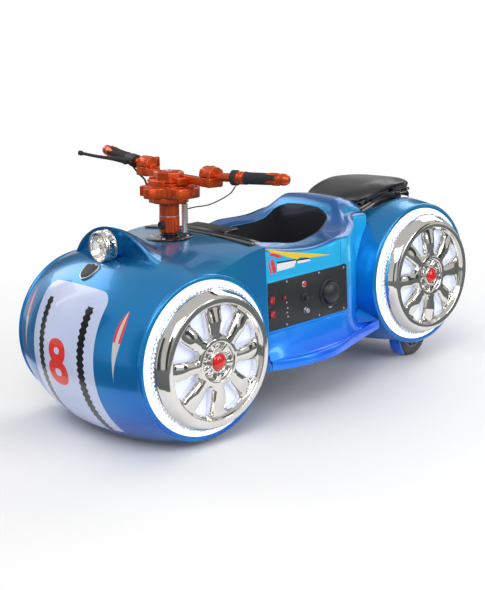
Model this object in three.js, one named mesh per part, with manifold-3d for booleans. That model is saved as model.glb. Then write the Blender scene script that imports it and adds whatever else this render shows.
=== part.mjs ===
// Ride-on fairground motorcycle: a battery bumper ride shaped like a racing motorcycle.
// Millimetres, +Z up, front towards -Y, the rider's left towards +X, origin on the floor
// under the middle of the whole machine.

import * as THREE from 'three';
import { mergeVertices } from 'three/addons/utils/BufferGeometryUtils.js';
import Module from 'manifold-3d';

const wasm = await Module();
wasm.setup();

// ---- driving dimensions ----
const gap = 0.3;
const shellWall = 6;
const degree = Math.PI / 180;

const frontAxle = { y: -550, z: 280 };
const rearAxle = { y: 545, z: 337 };
const frontBarrel = { halfWidth: 338, crown: 320, side: 256, floor: 24 };
const rearBarrel = { halfWidth: 278, crown: 288, side: 262, floor: 88 };
const seatRecess = { halfWidth: 172, front: 150, rear: 700, floor: 590 };
const barrelBow = 2.2;

const hood = { front: frontAxle.y, rear: -277, top: 600, fall: 18, halfWidth: 325, bottom: 165 };
const bodyBottom = 165;

const cover = { depth: 56, rimRadius: 225, faceRadius: 200, lipRadius: 182, hubRadius: 76 };
const coverWindow = { count: 8, outline: [[12, 94], [34, 152], [26, 168]] };
const lightPlate = { inner: 60, outer: 246, thickness: 5 };

const panel = { face: 320, front: -270, rear: 104, bottom: 298, top: 460, thickness: 4 };
const speaker = { y: 18, z: 376, radius: 50, depth: 24 };

const tub = { wall: 4, floor: 352, front: -250, rear: 209 };

const lamp = { y: -682, z: 613, radius: 52, length: 44 };
const lampShelf = { halfWidth: 58, front: 24, rear: 56, bottom: 545, top: 600 };
const lampNiche = { y: -702, z: 632, halfWidth: 172, halfDepth: 82, halfHeight: 58 };
const nameShield = { y: 173, z: 250, radius: 321, thickness: 4 };

const steer = { y: -400, z: 700, rake: 3.5 * degree, parked: 5 * degree, lean: 3.5 * degree };
const post = { radius: 33, bottom: -88, seam: -28, top: 14.7 };
const shaftRadius = 22;
const shaftEnd = -460;
const bar = { clampX: 150, clampY: 45, clampZ: 115, sweep: 10 * degree, rise: 4.5 * degree };
const barRadius = 14;

const driveWheel = { radius: 110, width: 60 };
const rearWheel = { x: 197, y: 580, radius: 80, width: 36 };
const axleRadius = 8;
const axleGap = 0.6;

const rail = { x: 150, size: 40, bottom: 170, front: -262, rear: 620 };
const headPlate = { bottom: 262, thickness: 10, front: -470 };
const driveBay = { halfWidth: 210, front: -560, rear: -200 };
const battery = { halfWidth: 125, front: -190, rear: 130, top: 335 };

// Larger than the machine, for cutters that only need to reach past it.
const beyond = 1000;

// ---- materials ----
const paint = (color, roughness = 0.25, metalness = 0.3) =>
  new THREE.MeshStandardMaterial({ color, roughness, metalness });
const blue = paint(0x0f7fc4, 0.2, 0.5);
const chrome = paint(0xc9ccd0, 0.1, 1);
const ledWhite = paint(0xf4f6ff, 0.5, 0);
const orange = paint(0xd5460f, 0.3, 0.8);
const gloss = paint(0x0b0c0e, 0.15, 0.1);
const matt = paint(0x1a1a1c, 0.7, 0);
const panelGrey = paint(0x2b2e33, 0.55, 0.1);
const steel = paint(0x24262a, 0.5, 0.6);
const silver = paint(0xb9bbbd, 0.35, 0.9);
const tyre = paint(0x5b5d60, 0.8, 0);
const lens = paint(0xdfe6ea, 0.05, 0);

// ---- solids from three.js geometry ----
function signedVolume(points, faces) {
  const corners = [new THREE.Vector3(), new THREE.Vector3(), new THREE.Vector3()];
  let total = 0;
  for (let i = 0; i < faces.length; i += 3) {
    corners.forEach((corner, k) => corner.fromArray(points, 3 * faces[i + k]));
    total += corners[0].dot(corners[1].cross(corners[2]));
  }
  return total / 6;
}

function solidOf(geometry) {
  const bare = geometry.clone();
  bare.deleteAttribute('normal');
  bare.deleteAttribute('uv');
  const merged = mergeVertices(bare, 1e-4);
  const index = merged.index.array;
  const points = merged.attributes.position.array;
  const faces = [];
  for (let i = 0; i < index.length; i += 3) {
    const [a, b, c] = index.slice(i, i + 3);
    if (a !== b && b !== c && c !== a) faces.push(a, b, c);
  }
  if (signedVolume(points, faces) < 0) faces.reverse();
  return new wasm.Manifold(new wasm.Mesh({
    numProp: 3,
    vertProperties: new Float32Array(points),
    triVerts: new Uint32Array(faces),
  }));
}

function geometryOf(solid) {
  const mesh = solid.getMesh();
  const geometry = new THREE.BufferGeometry();
  geometry.setAttribute('position', new THREE.BufferAttribute(mesh.vertProperties, 3));
  geometry.setIndex(new THREE.BufferAttribute(mesh.triVerts, 1));
  geometry.computeVertexNormals();
  return geometry;
}

function box(x0, x1, y0, y1, z0, z1) {
  const geometry = new THREE.BoxGeometry(x1 - x0, y1 - y0, z1 - z0);
  return solidOf(geometry.translate((x0 + x1) / 2, (y0 + y1) / 2, (z0 + z1) / 2));
}

// A turned shape: profile points are [radius, height] along +Z, closed on the axis or on itself.
function latheGeometry(profile, segments = 32) {
  const points = profile.map(([radius, height]) => new THREE.Vector2(radius, height));
  return new THREE.LatheGeometry(points, segments).rotateX(Math.PI / 2);
}

const disc = (radius, z0, z1, segments = 32) =>
  latheGeometry([[0, z0], [radius, z0], [radius, z1], [0, z1]], segments);

const ring = (inner, outer, z0, z1, segments = 32) =>
  latheGeometry([[inner, z0], [outer, z0], [outer, z1], [inner, z1], [inner, z0]], segments);

const alongX = (geometry) => geometry.rotateY(Math.PI / 2);
const alongY = (geometry) => geometry.rotateX(-Math.PI / 2);

// A plan outline in X and Y, drawn up between two heights.
function prism(outline, z0, z1) {
  const shape = new THREE.Shape(outline.map(([x, y]) => new THREE.Vector2(x, y)));
  const settings = { depth: z1 - z0, bevelEnabled: false };
  return solidOf(new THREE.ExtrudeGeometry(shape, settings).translate(0, 0, z0));
}

// A side outline in Y and Z, drawn across between two places on X.
function sidePrism(outline, x0, x1) {
  const shape = new THREE.Shape(outline.map(([y, z]) => new THREE.Vector2(y, z)));
  const geometry = new THREE.ExtrudeGeometry(shape, { depth: x1 - x0, bevelEnabled: false });
  const turn = new THREE.Matrix4().makeBasis(
    new THREE.Vector3(0, 1, 0), new THREE.Vector3(0, 0, 1), new THREE.Vector3(1, 0, 0));
  return solidOf(geometry.applyMatrix4(turn).translate(x0, 0, 0));
}

// A skin through rings of equal count, each ring lying in a plane of constant y.
function loft(rings) {
  const count = rings[0].length;
  const positions = rings.flat().flatMap(([x, y, z]) => [x, y, z]);
  const faces = [];
  for (let r = 0; r < rings.length - 1; r++) {
    for (let k = 0; k < count; k++) {
      const a = r * count + k;
      const b = r * count + (k + 1) % count;
      faces.push(a, b, b + count, a, b + count, a + count);
    }
  }
  const cap = (points, base, reversed) => {
    const flat = points.map(([x, , z]) => new THREE.Vector2(x, z));
    const outlineTurn = Math.sign(THREE.ShapeUtils.area(flat));
    for (const triangle of THREE.ShapeUtils.triangulateShape(flat, [])) {
      const turn = Math.sign(THREE.ShapeUtils.area(triangle.map((k) => flat[k])));
      const ordered = (turn === outlineTurn) !== reversed ? triangle : [...triangle].reverse();
      faces.push(...ordered.map((k) => base + k));
    }
  };
  cap(rings[0], 0, true);
  cap(rings[rings.length - 1], (rings.length - 1) * count, false);
  const geometry = new THREE.BufferGeometry();
  geometry.setAttribute('position', new THREE.Float32BufferAttribute(positions, 3));
  geometry.setIndex(faces);
  return solidOf(geometry);
}

// A round tube through points, closed at both ends.
function tube(points, radius, sides, steps) {
  const shape = new THREE.Shape();
  for (let k = 0; k < sides; k++) {
    const angle = 2 * Math.PI * k / sides;
    const method = k ? 'lineTo' : 'moveTo';
    shape[method](radius * Math.cos(angle), radius * Math.sin(angle));
  }
  const curve = new THREE.CatmullRomCurve3(points.map((p) => new THREE.Vector3(...p)));
  return solidOf(new THREE.ExtrudeGeometry(shape, { steps, extrudePath: curve, bevelEnabled: false }));
}

const union = (solids) => solids.reduce((joined, solid) => joined.add(solid));
const cutAll = (solid, cutters) => cutters.reduce((left, cutter) => left.subtract(cutter), solid);
const onSide = (leftSolid, side) => (side > 0 ? leftSolid : leftSolid.mirror([1, 0, 0]));
const mirrored = (half) => [...half, ...half.filter(([x]) => x).map(([x, y]) => [-x, y]).reverse()];
const mix = (a, b, t) => a + (b - a) * t;
const smooth = (t) => t * t * (3 - 2 * t);

function add(group, name, solid, material) {
  const mesh = new THREE.Mesh(geometryOf(solid), material);
  mesh.name = name;
  group.add(mesh);
  return mesh;
}

// ---- body shells ----
const barrelRadius = (x, barrel) =>
  barrel.side + (barrel.crown - barrel.side) * (1 - Math.abs(x / barrel.halfWidth) ** barrelBow);

function barrelSolid(barrel, axle, inset) {
  const width = barrel.halfWidth - inset;
  const stepCount = 8;
  const profile = [[0, -width]];
  for (let k = 0; k <= stepCount; k++) {
    const x = width * (2 * k / stepCount - 1);
    profile.push([barrelRadius(x, barrel) - inset, x]);
  }
  profile.push([0, width]);
  return solidOf(alongX(latheGeometry(profile, 32)).translate(0, axle.y, axle.z));
}

function hoodSolid(inset, rear, bottom) {
  const rings = [];
  for (const t of [0, 0.35, 0.7, 1]) {
    const halfWidth = mix(frontBarrel.halfWidth, hood.halfWidth, smooth(t)) - inset;
    const ringPoints = [[-halfWidth, bottom]];
    for (const part of [-1, -0.96, -0.8, -0.6, -0.3, 0, 0.3, 0.6, 0.8, 0.96, 1]) {
      const x = halfWidth * part;
      const front = frontAxle.z + barrelRadius(x, frontBarrel);
      const back = hood.top - hood.fall * (x / hood.halfWidth) ** 2;
      const edge = Math.abs(part) === 1 ? 8 : 0;
      ringPoints.push([x, mix(front, back, smooth(t)) - inset - edge]);
    }
    ringPoints.push([halfWidth, bottom]);
    const y = mix(hood.front, rear, t);
    rings.push(ringPoints.map(([x, z]) => [x, y, z]));
  }
  return loft(rings);
}

const frontOuter = (grow) =>
  barrelSolid(frontBarrel, frontAxle, -grow).add(hoodSolid(-grow, hood.rear, hood.bottom));

// Room in the top of the nose for the cowl's floor under the headlight.
function lampPocket(inset) {
  const { halfWidth, front, rear, bottom, top } = lampShelf;
  const half = halfWidth - inset;
  return box(-half, half, lamp.y - front + inset, lamp.y + rear - inset, bottom, top);
}

function frontFairing() {
  const hollow = barrelSolid(frontBarrel, frontAxle, shellWall)
    .add(hoodSolid(shellWall, hood.rear + 20, hood.bottom - 60));
  const shaftHole = solidOf(disc(shaftRadius + 9, hood.top - 100, hood.top + 40));
  return cutAll(frontOuter(0), [
    hollow,
    box(-beyond, beyond, -beyond, 0, -beyond, frontBarrel.floor),
    box(-beyond, beyond, hood.rear, 0, -beyond, beyond),
    box(-driveBay.halfWidth, driveBay.halfWidth, driveBay.front, driveBay.rear, 0, hood.bottom + 4),
    lampPocket(0),
    shaftHole.translate([0, steer.y - 5, 0]),
  ]);
}

// Cross-sections of the middle body from front to rear: the crown on the centre line, the rim
// of the tub opening, the crease over the side face, and the side face itself.
const bodySections = [
  { y: -276.5, crown: 600, rimX: 260, rim: 588, creaseX: 321, crease: 574, sideX: 325 },
  { y: -255, crown: 599, rimX: 260, rim: 586, creaseX: 320, crease: 572, sideX: 323 },
  { y: -177, crown: 590, rimX: 250, rim: 573, creaseX: 319, crease: 557, sideX: 321 },
  { y: -55, crown: 575, rimX: 225, rim: 550, creaseX: 318, crease: 544, sideX: 320 },
  { y: 71, crown: 575, rimX: 190, rim: 549, creaseX: 318, crease: 562, sideX: 320 },
  { y: 120, crown: 580, rimX: 172, rim: 551, creaseX: 300, crease: 568, sideX: 312 },
  { y: 170, crown: 585, rimX: 152, rim: 556, creaseX: 264, crease: 575, sideX: 294 },
  { y: 198, crown: 600, rimX: 138, rim: 564, creaseX: 238, crease: 582, sideX: 277 },
  { y: 214, crown: 642, rimX: 125, rim: 632, creaseX: 205, crease: 592, sideX: 262 },
  { y: 250, crown: 652, rimX: 128, rim: 643, creaseX: 191, crease: 601, sideX: 235 },
  { y: 300, crown: 652, rimX: 128, rim: 643, creaseX: 188, crease: 602, sideX: 205 },
  { y: 360, crown: 630, rimX: 120, rim: 622, creaseX: 172, crease: 592, sideX: 185 },
];

function bodySolid(inset, bottom, stretch) {
  const last = bodySections.length - 1;
  const rings = bodySections.map((section, k) => {
    const crown = section.crown - inset;
    const half = [
      [section.rimX * 0.5 - inset, mix(crown, section.rim - inset, 0.35)],
      [section.rimX - inset, section.rim - inset],
      [mix(section.rimX, section.creaseX, 0.55) - inset, mix(section.rim, section.crease, 0.45) - inset],
      [section.creaseX - inset, section.crease - inset],
      [section.sideX - inset, section.crease - inset - 14],
      [section.sideX - inset, panel.top],
      [section.sideX - inset, bottom],
    ];
    const shift = k === 0 ? -stretch : k === last ? stretch : 0;
    return [...half.map(([x, z]) => [-x, z]).reverse(), [0, crown], ...half]
      .map(([x, z]) => [x, section.y + shift, z]);
  });
  return loft(rings);
}

const tubOutline = (inset) => mirrored([
  [250 - inset, tub.front + inset], [258 - inset, tub.front + 12 + inset],
  [250 - inset, -177], [225 - inset, -55], [190 - inset, 71], [162 - inset, 150],
  [136 - inset, 200 - inset / 2], [118 - inset, tub.rear - inset],
]);

function sidePanelHole(side) {
  const hole = box(panel.face - 2 * shellWall, beyond, panel.front, panel.rear, panel.bottom, panel.top);
  return onSide(hole, side);
}

function midBody() {
  return cutAll(bodySolid(0, bodyBottom, 0), [
    bodySolid(shellWall, bodyBottom - 60, 20), prism(tubOutline(0), bodyBottom, beyond), rearSolid(-gap),
    sidePanelHole(1), sidePanelHole(-1),
  ]);
}

function cockpitTub() {
  const liner = prism(tubOutline(gap), tub.floor, beyond).intersect(bodySolid(0, bodyBottom, 0));
  return liner.subtract(prism(tubOutline(gap + tub.wall), tub.floor + tub.wall, beyond));
}

// The rear barrel with the flat recess in its top that takes the hump's tail and the seat.
function rearSolid(inset) {
  const { halfWidth, front, rear, floor } = seatRecess;
  return barrelSolid(rearBarrel, rearAxle, inset).subtract(
    box(-halfWidth - inset, halfWidth + inset, front, rear + inset, floor - inset, beyond));
}

// Room over a rear wheel, which turns partly inside the barrel.
function rearWheelArch(side) {
  const arch = box(rearWheel.x - 30, rearWheel.x + 30, rearWheel.y - 20, rearWheel.y + 110, 0, 130);
  return onSide(arch, side);
}

function rearFairing() {
  const railTunnel = box(-200, 200, rearAxle.y - rearBarrel.crown - 80, 400, 0, rearAxle.z - 7);
  return cutAll(rearSolid(0), [
    rearSolid(shellWall),
    box(-beyond, beyond, 0, beyond, -beyond, rearBarrel.floor),
    railTunnel, rearWheelArch(1), rearWheelArch(-1),
  ]);
}

function controlPanel(side) {
  const { face, thickness, front, rear, bottom, top } = panel;
  const plate = box(face - thickness, face, front + gap, rear - gap, bottom + gap, top - gap);
  const { radius, depth } = speaker;
  const dome = latheGeometry([[0, 0], [radius, 0], [radius, 4], [radius - 12, depth - 10], [0, depth]], 20);
  const placed = solidOf(alongX(dome)).translate([face - 1, speaker.y, speaker.z]);
  return onSide(plate.add(placed), side);
}

// Footboard: a pressed channel from the body side out to a raised lip.
const boardSections = [
  { y: -290, inner: 326.6, outer: 352 }, { y: -230, inner: 325, outer: 380 },
  { y: -170, inner: 322, outer: 395 }, { y: -100, inner: 320.8, outer: 400 },
  { y: -30, inner: 320.6, outer: 394 }, { y: 50, inner: 320.6, outer: 369 },
  { y: 72, inner: 320.4, outer: 361 }, { y: 100, inner: 317, outer: 350 },
  { y: 150, inner: 306, outer: 334 },
  { y: 173, inner: 297, outer: 326 }, { y: 200, inner: 280, outer: 318 },
  { y: 240, inner: 246, outer: 307 }, { y: 268, inner: 230, outer: 298 },
];

// Its profile: part of the way out from the body, and height; first over the top, then back under.
const boardProfile = [
  [0, 290], [0.06, 288], [0.14, 262], [0.24, 244], [0.62, 214], [0.75, 208], [0.85, 212], [0.95, 208],
  [1, 196], [0.97, 178], [0.9, 178], [0.84, 200], [0.6, 203], [0.22, 232], [0, 240],
];

function footboard(side) {
  return loft(boardSections.map(({ y, inner, outer }) =>
    boardProfile.map(([part, z]) => [side * mix(inner, outer, part), y, z])));
}

// ---- headlight cowl ----
const cowlSections = [
  { y: -705, halfWidth: 120, top: 570 }, { y: -665, halfWidth: 200, top: 596 },
  { y: -642, halfWidth: 226, top: 664 }, { y: -628, halfWidth: 228, top: 669 },
  { y: -575, halfWidth: 216, top: 656 }, { y: -520, halfWidth: 180, top: 630 },
  { y: -490, halfWidth: 130, top: 606 },
];

function headlightCowl() {
  const base = hood.top - 100;
  const archSteps = 12;
  const rings = cowlSections.map(({ y, halfWidth, top }) => {
    const foot = Math.min(552, top - 8);
    const arch = [];
    for (let k = 0; k <= archSteps; k++) {
      const angle = Math.PI * k / archSteps;
      arch.push([halfWidth * Math.cos(angle), y, foot + (top - foot) * Math.sin(angle) ** 0.9]);
    }
    return [[halfWidth, y, base], ...arch, [-halfWidth, y, base]];
  });
  const niche = solidOf(new THREE.SphereGeometry(1, 20, 10)
    .scale(lampNiche.halfWidth, lampNiche.halfDepth, lampNiche.halfHeight)
    .translate(0, lampNiche.y, lampNiche.z));
  const stub = solidOf(alongY(disc(lamp.radius - 7, 0, 60, 28))
    .translate(0, lamp.y + lamp.length + gap, lamp.z));
  const lampRoom = solidOf(alongY(disc(lamp.radius + 1.5, -40, lamp.length + gap, 28))
    .translate(0, lamp.y, lamp.z));
  const floor = lampPocket(gap);
  const hollowed = cutAll(loft(rings).add(floor), [niche, lampRoom]).add(stub);
  return hollowed.subtract(frontOuter(gap).subtract(floor));
}

function headlight() {
  const r = lamp.radius;
  const profile = [
    [r - 6, 0], [r, 3], [r + 1, 16], [r - 2, 20], [r - 2, 30], [r + 1, 33], [r - 4, 44],
    [0, 44], [0, 36], [38, 12], [43, 9], [r - 6, 0],
  ];
  return solidOf(alongY(latheGeometry(profile, 24)).translate(0, lamp.y, lamp.z));
}

const headlightLens = () =>
  solidOf(alongY(disc(42.2, 5, 8.5, 24)).translate(0, lamp.y, lamp.z));

// The shield lies on the nose, square to the barrel.
function badge() {
  const outline = mirrored([[0, -24], [14, -16], [19, 0], [17, 20]]);
  const direction = Math.atan2(nameShield.z, nameShield.y);
  const [out, up] = [Math.cos(direction), Math.sin(direction)].map((part) => part * nameShield.radius);
  return prism(outline, 0, nameShield.thickness)
    .rotate([90 - direction / degree, 0, 0])
    .translate([0, frontAxle.y - out, frontAxle.z + up]);
}

// Joint strip across the rear of the hood, with a raised block on the centre line behind it.
function hoodTrim() {
  const stations = [-1, -2 / 3, -1 / 3, 0, 1 / 3, 2 / 3, 1].map((part) => 285 * part);
  const height = (x) => hood.top - hood.fall * (x / hood.halfWidth) ** 2;
  const strip = loft([-305, -255].map((y) => [
    ...stations.map((x) => [x, y, height(x) + 6]),
    ...[...stations].reverse().map((x) => [x, y, height(x) + 1.2]),
  ]));
  return strip.add(box(-110, 110, -260, -198, hood.top + 2, hood.top + 11));
}

// ---- wheel covers and light plates ----
function wheelCover() {
  const { depth, rimRadius, faceRadius, lipRadius, hubRadius } = cover;
  const outer = [
    [rimRadius, gap], [rimRadius, depth - 8], [faceRadius, depth], [lipRadius, depth],
    [hubRadius + 6, depth - 14], [hubRadius, depth - 5], [26, depth - 5], [0, depth + 7],
  ];
  const inner = [
    [0, depth - 18], [rimRadius - 10, depth - 18], [rimRadius - 8, gap], [rimRadius, gap],
  ];
  const dish = solidOf(latheGeometry([...outer, ...inner], 24));
  const cutters = [];
  for (let k = 0; k < coverWindow.count; k++) {
    cutters.push(prism(mirrored(coverWindow.outline), depth - 30, depth + 10)
      .rotate([0, 0, 360 * (k + 0.5) / coverWindow.count]));
  }
  return cutAll(dish, cutters).rotate([0, 90, 0]);
}

function addWheelDressing(group, name, barrel, axle, side) {
  const turn = side > 0 ? 0 : 180;
  const plateX = barrel.halfWidth + gap;
  const plate = solidOf(alongX(ring(lightPlate.inner, lightPlate.outer, 0, lightPlate.thickness, 28)));
  const coverX = plateX + lightPlate.thickness;
  const place = (solid, x) => solid.translate([x, 0, 0]).rotate([0, 0, turn])
    .translate([0, axle.y, axle.z]);
  add(group, `${name}_light_plate`, place(plate, plateX), ledWhite);
  add(group, `${name}_wheel_cover`, place(wheelCover(), coverX), chrome);
}

// ---- seat ----
const seatSections = [
  { y: 303, halfWidth: 120, top: 655, side: 612 }, { y: 330, halfWidth: 150, top: 664, side: 606 },
  { y: 400, halfWidth: 162, top: 680, side: 626 }, { y: 480, halfWidth: 166, top: 684, side: 646 },
  { y: 560, halfWidth: 165, top: 682, side: 658 }, { y: 640, halfWidth: 150, top: 674, side: 654 },
  { y: 710, halfWidth: 124, top: 661, side: 640 }, { y: 765, halfWidth: 88, top: 640, side: 620 },
  { y: 800, halfWidth: 45, top: 612, side: 598 },
];
const cushionThickness = 34;
const panThickness = 9;
const panPost = { x: 118, half: 12, front: 585, rear: 620, bottom: 560, top: 630 };

// One layer of the seat between two depths under its top surface.
function seatLayer(sections, upperDrop, lowerDrop, widthPart) {
  const rings = sections.map(({ y, halfWidth, top, side }) => {
    const upper = [];
    const lower = [];
    for (let k = 0; k <= 8; k++) {
      const part = k / 4 - 1;
      const bow = Math.sqrt(1 - part ** 4);
      const z = mix(side, top, bow);
      const x = halfWidth * part * widthPart;
      upper.push([x, y, z - upperDrop]);
      lower.unshift([x * 0.98, y, z - lowerDrop]);
    }
    return [...upper, ...lower];
  });
  return loft(rings);
}

const seatCushion = () => cutAll(seatLayer(seatSections, 0, cushionThickness, 1),
  [bodySolid(-gap, bodyBottom, 0), rearSolid(-gap)]);

function seatPan() {
  const under = cushionThickness + gap;
  const plate = seatLayer(seatSections.slice(2, 8), under, under + panThickness, 0.9);
  const { x, half, front, rear, bottom, top } = panPost;
  const post = box(x - half, x + half, front, rear, bottom, top);
  return cutAll(union([plate, post, onSide(post, -1)]), [bodySolid(-gap, bodyBottom, 0), rearSolid(-gap)]);
}

// ---- chassis, battery and rear wheels ----
const steeringAxisY = (z) => steer.y - (steer.z - z) * Math.tan(steer.rake);

function columnBasePlate() {
  const plate = union([
    solidOf(disc(79, hood.top + 0.8, hood.top + 5, 28).scale(1, 0.94, 1)),
    solidOf(disc(40, hood.top + 4, hood.top + 9, 20)),
  ]);
  const shaftHole = solidOf(disc(shaftRadius + 4, hood.top - 10, hood.top + 20, 20));
  return plate.subtract(shaftHole).translate([0, steeringAxisY(hood.top), 0]);
}

function aroundSteeringAxis(geometry) {
  return solidOf(geometry.rotateX(-steer.rake).translate(0, steer.y, steer.z));
}

function chassisFrame() {
  const half = rail.size / 2;
  const railTop = rail.bottom + rail.size;
  const plateTop = headPlate.bottom + headPlate.thickness;
  const outerX = rail.x + half;
  const members = [];
  for (const side of [-1, 1]) {
    const x = side * rail.x;
    members.push(box(x - half, x + half, rail.front, rail.rear, rail.bottom, railTop));
    members.push(box(x - half, x + half, rail.front, rail.front + rail.size, railTop - 1,
      headPlate.bottom + 1));
  }
  const crossbars = [
    { y: rail.front + half, reach: rail.x }, { y: -60, reach: panel.face - 8 },
    { y: 170, reach: rail.x }, { y: rail.rear - half, reach: rail.x },
  ];
  for (const { y, reach } of crossbars) {
    members.push(box(-reach, reach, y - half, y + half, rail.bottom, railTop));
  }
  const plateOutline = [[60, headPlate.front], [outerX, -300], [outerX, rail.front + rail.size]];
  members.push(prism(mirrored(plateOutline), headPlate.bottom, plateTop));
  const noseWall = -852;
  members.push(box(-20, 20, noseWall, headPlate.front + 30, plateTop - 1, plateTop + 24));
  members.push(box(-60, 60, noseWall - 4, noseWall + 4, headPlate.bottom - 20, headPlate.bottom + 60));
  members.push(aroundSteeringAxis(disc(34, -450, -370, 20)));
  return union(members).subtract(aroundSteeringAxis(disc(shaftRadius + gap * 2, -520, -300, 24)));
}

// Painted housing that wraps the front of a rear wheel and holds its axle.
function rearWheelBracket(side) {
  const { x, y, radius, width } = rearWheel;
  const innerX = rail.x + rail.size / 2 + gap;
  const plateX = innerX + 5;
  const [from, to, steps] = [-20 * degree, 135 * degree, 9];
  const arc = (r) => Array.from({ length: steps + 1 }, (_, k) => mix(from, to, k / steps))
    .map((angle) => [-r * Math.sin(angle), r * Math.cos(angle)]);
  const shell = sidePrism([...arc(radius + 11), ...arc(radius + 6).reverse()], innerX, x + width / 2 + 7);
  const cheek = sidePrism([...arc(radius + 10), [0, -20]], innerX, plateX);
  const hanger = box(innerX, plateX, -30, 30, 0, 124);
  const axle = solidOf(alongX(disc(axleRadius, innerX, x + width / 2 + 4, 20)));
  return onSide(union([shell, cheek, hanger, axle]).translate([0, y, radius]), side);
}

function wheelSolid(radius, width) {
  const edge = width * 0.18;
  const half = width / 2;
  return solidOf(alongX(latheGeometry([
    [axleRadius + axleGap, -half], [radius - edge, -half], [radius, -half + edge],
    [radius, half - edge], [radius - edge, half], [axleRadius + axleGap, half],
    [axleRadius + axleGap, -half],
  ], 32)));
}

// ---- steering column, bars and drive unit ----
const hubPivot = 105;
const leanMatrix = new THREE.Matrix4().makeRotationY(steer.lean).setPosition(0, 0, hubPivot);

// Bar frame: +X out along the bar from the middle of its clamp.
function barMatrix(side) {
  const heading = side > 0 ? bar.sweep : Math.PI - bar.sweep;
  return new THREE.Matrix4()
    .makeRotationFromEuler(new THREE.Euler(0, -bar.rise, heading, 'ZYX'))
    .setPosition(side * bar.clampX, bar.clampY, bar.clampZ - hubPivot);
}

const barPoint = (side, x, y, z) =>
  new THREE.Vector3(x, y, z).applyMatrix4(barMatrix(side)).applyMatrix4(leanMatrix).toArray();

function steeringColumn() {
  const { radius, bottom, seam, top } = post;
  return solidOf(latheGeometry([
    [0, shaftEnd], [shaftRadius, shaftEnd], [shaftRadius, bottom], [radius, bottom], [radius, seam - 1],
    [radius - 2, seam], [radius, seam + 1], [radius, top], [0, top],
  ], 24));
}

function steeringPlate() {
  const plate = solidOf(latheGeometry([
    [0, 15], [68, 15], [68, 34], [102, 34], [102, 65], [99, 68], [0, 68],
  ], 28));
  const notches = [200, 250, 290, 340].map((angle) => solidOf(disc(17, 30, 70, 12))
    .translate([108 * Math.cos(angle * degree), 108 * Math.sin(angle * degree), 0]));
  return cutAll(plate, notches);
}

function steeringHub() {
  const crown = solidOf(disc(47, 90, 120, 8));
  const screw = solidOf(disc(12, 119, 125, 6));
  return union([box(-58, 58, -48, 40, 68 + gap, 91), crown, screw]);
}

function handlebarClamp(side) {
  const arm = box(42, 130, 24, 44, -8, 12);
  const block = box(bar.clampX - 26, bar.clampX + 26, bar.clampY - 33, bar.clampY + 33, -22, 44);
  const bore = new THREE.CylinderGeometry(barRadius + gap, barRadius + gap, 120, 24)
    .rotateZ(Math.PI / 2).applyMatrix4(barMatrix(side));
  return onSide(arm.add(block), side).subtract(solidOf(bore));
}

// Along each bar: a collar, the grip from its inner to its outer end, and the end cap.
const collar = { radius: 21, from: 105, to: 134 };
const grip = { from: 134.5, to: 249.5, wide: 21, slim: 18.5 };
const endCap = { from: 250, to: 284, tip: 295 };

const handlebar = () => solidOf(alongX(latheGeometry([
  [0, -32], [barRadius, -32], [barRadius, collar.from], [collar.radius, collar.from],
  [collar.radius, collar.to], [barRadius, collar.to], [barRadius, endCap.from],
  [grip.slim, endCap.from], [grip.slim, endCap.to], [0, endCap.tip],
], 20)));

const gripSleeve = () => solidOf(alongX(latheGeometry([
  [barRadius + gap, grip.from], [grip.wide, grip.from], [grip.wide, grip.from + 5], [grip.slim, grip.to],
  [barRadius + gap, grip.to], [barRadius + gap, grip.from],
], 20)));

const gripFlange = () => solidOf(alongX(ring(barRadius + gap, 25, 84, collar.from - 0.5, 20)));

// Lever perch clamped round the right bar, with the lever reaching out in front of the grip.
function brakeLever() {
  const perch = solidOf(alongX(ring(barRadius + gap, 22, 72, collar.from - 0.5, 20)));
  const block = box(76, 102, 17, 44, -9, 9);
  const lever = tube([[89, 38, 0], [130, 58, 0], [196, 87, -3], [284, 110, -6]], 5.5, 8, 12);
  return union([perch, block, lever]);
}

function brakeCable() {
  const start = barPoint(-1, 72, 31, 0);
  return tube([start, [-205, 48, 96], [-165, 40, 78], [-135, 26, 58], [-106.8, 22, 52]], 3.5, 8, 10);
}

function throttleWire() {
  const start = barPoint(1, 94, 0, -27.2);
  return tube([start, [205, 70, 50], [130, 62, 14], [75, 48, 2], [45.5, 38, -6]], 1.5, 8, 14);
}

const conduit = () => solidOf(disc(9, post.bottom + 2, 2, 18)).translate([34, 34, 0]);

const wheelDrop = (steer.z - driveWheel.radius) / Math.cos(steer.rake);

function driveFork() {
  const leg = box(38, 46, -22, 22, -wheelDrop - 20, shaftEnd - 10);
  const crown = box(-52, 52, -28, 28, shaftEnd - 15, shaftEnd - gap);
  const axle = solidOf(alongX(disc(axleRadius, -46, 46, 20))).translate([0, 0, -wheelDrop]);
  return union([leg, onSide(leg, -1), crown, axle]);
}

const driveMotor = () => solidOf(alongX(disc(44, 46 + gap, 130, 28))).translate([0, 0, -520]);

// ---- the whole machine ----
const machine = new THREE.Group();
machine.position.y = (frontBarrel.crown - frontAxle.y - rearBarrel.crown - rearAxle.y) / 2;

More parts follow.
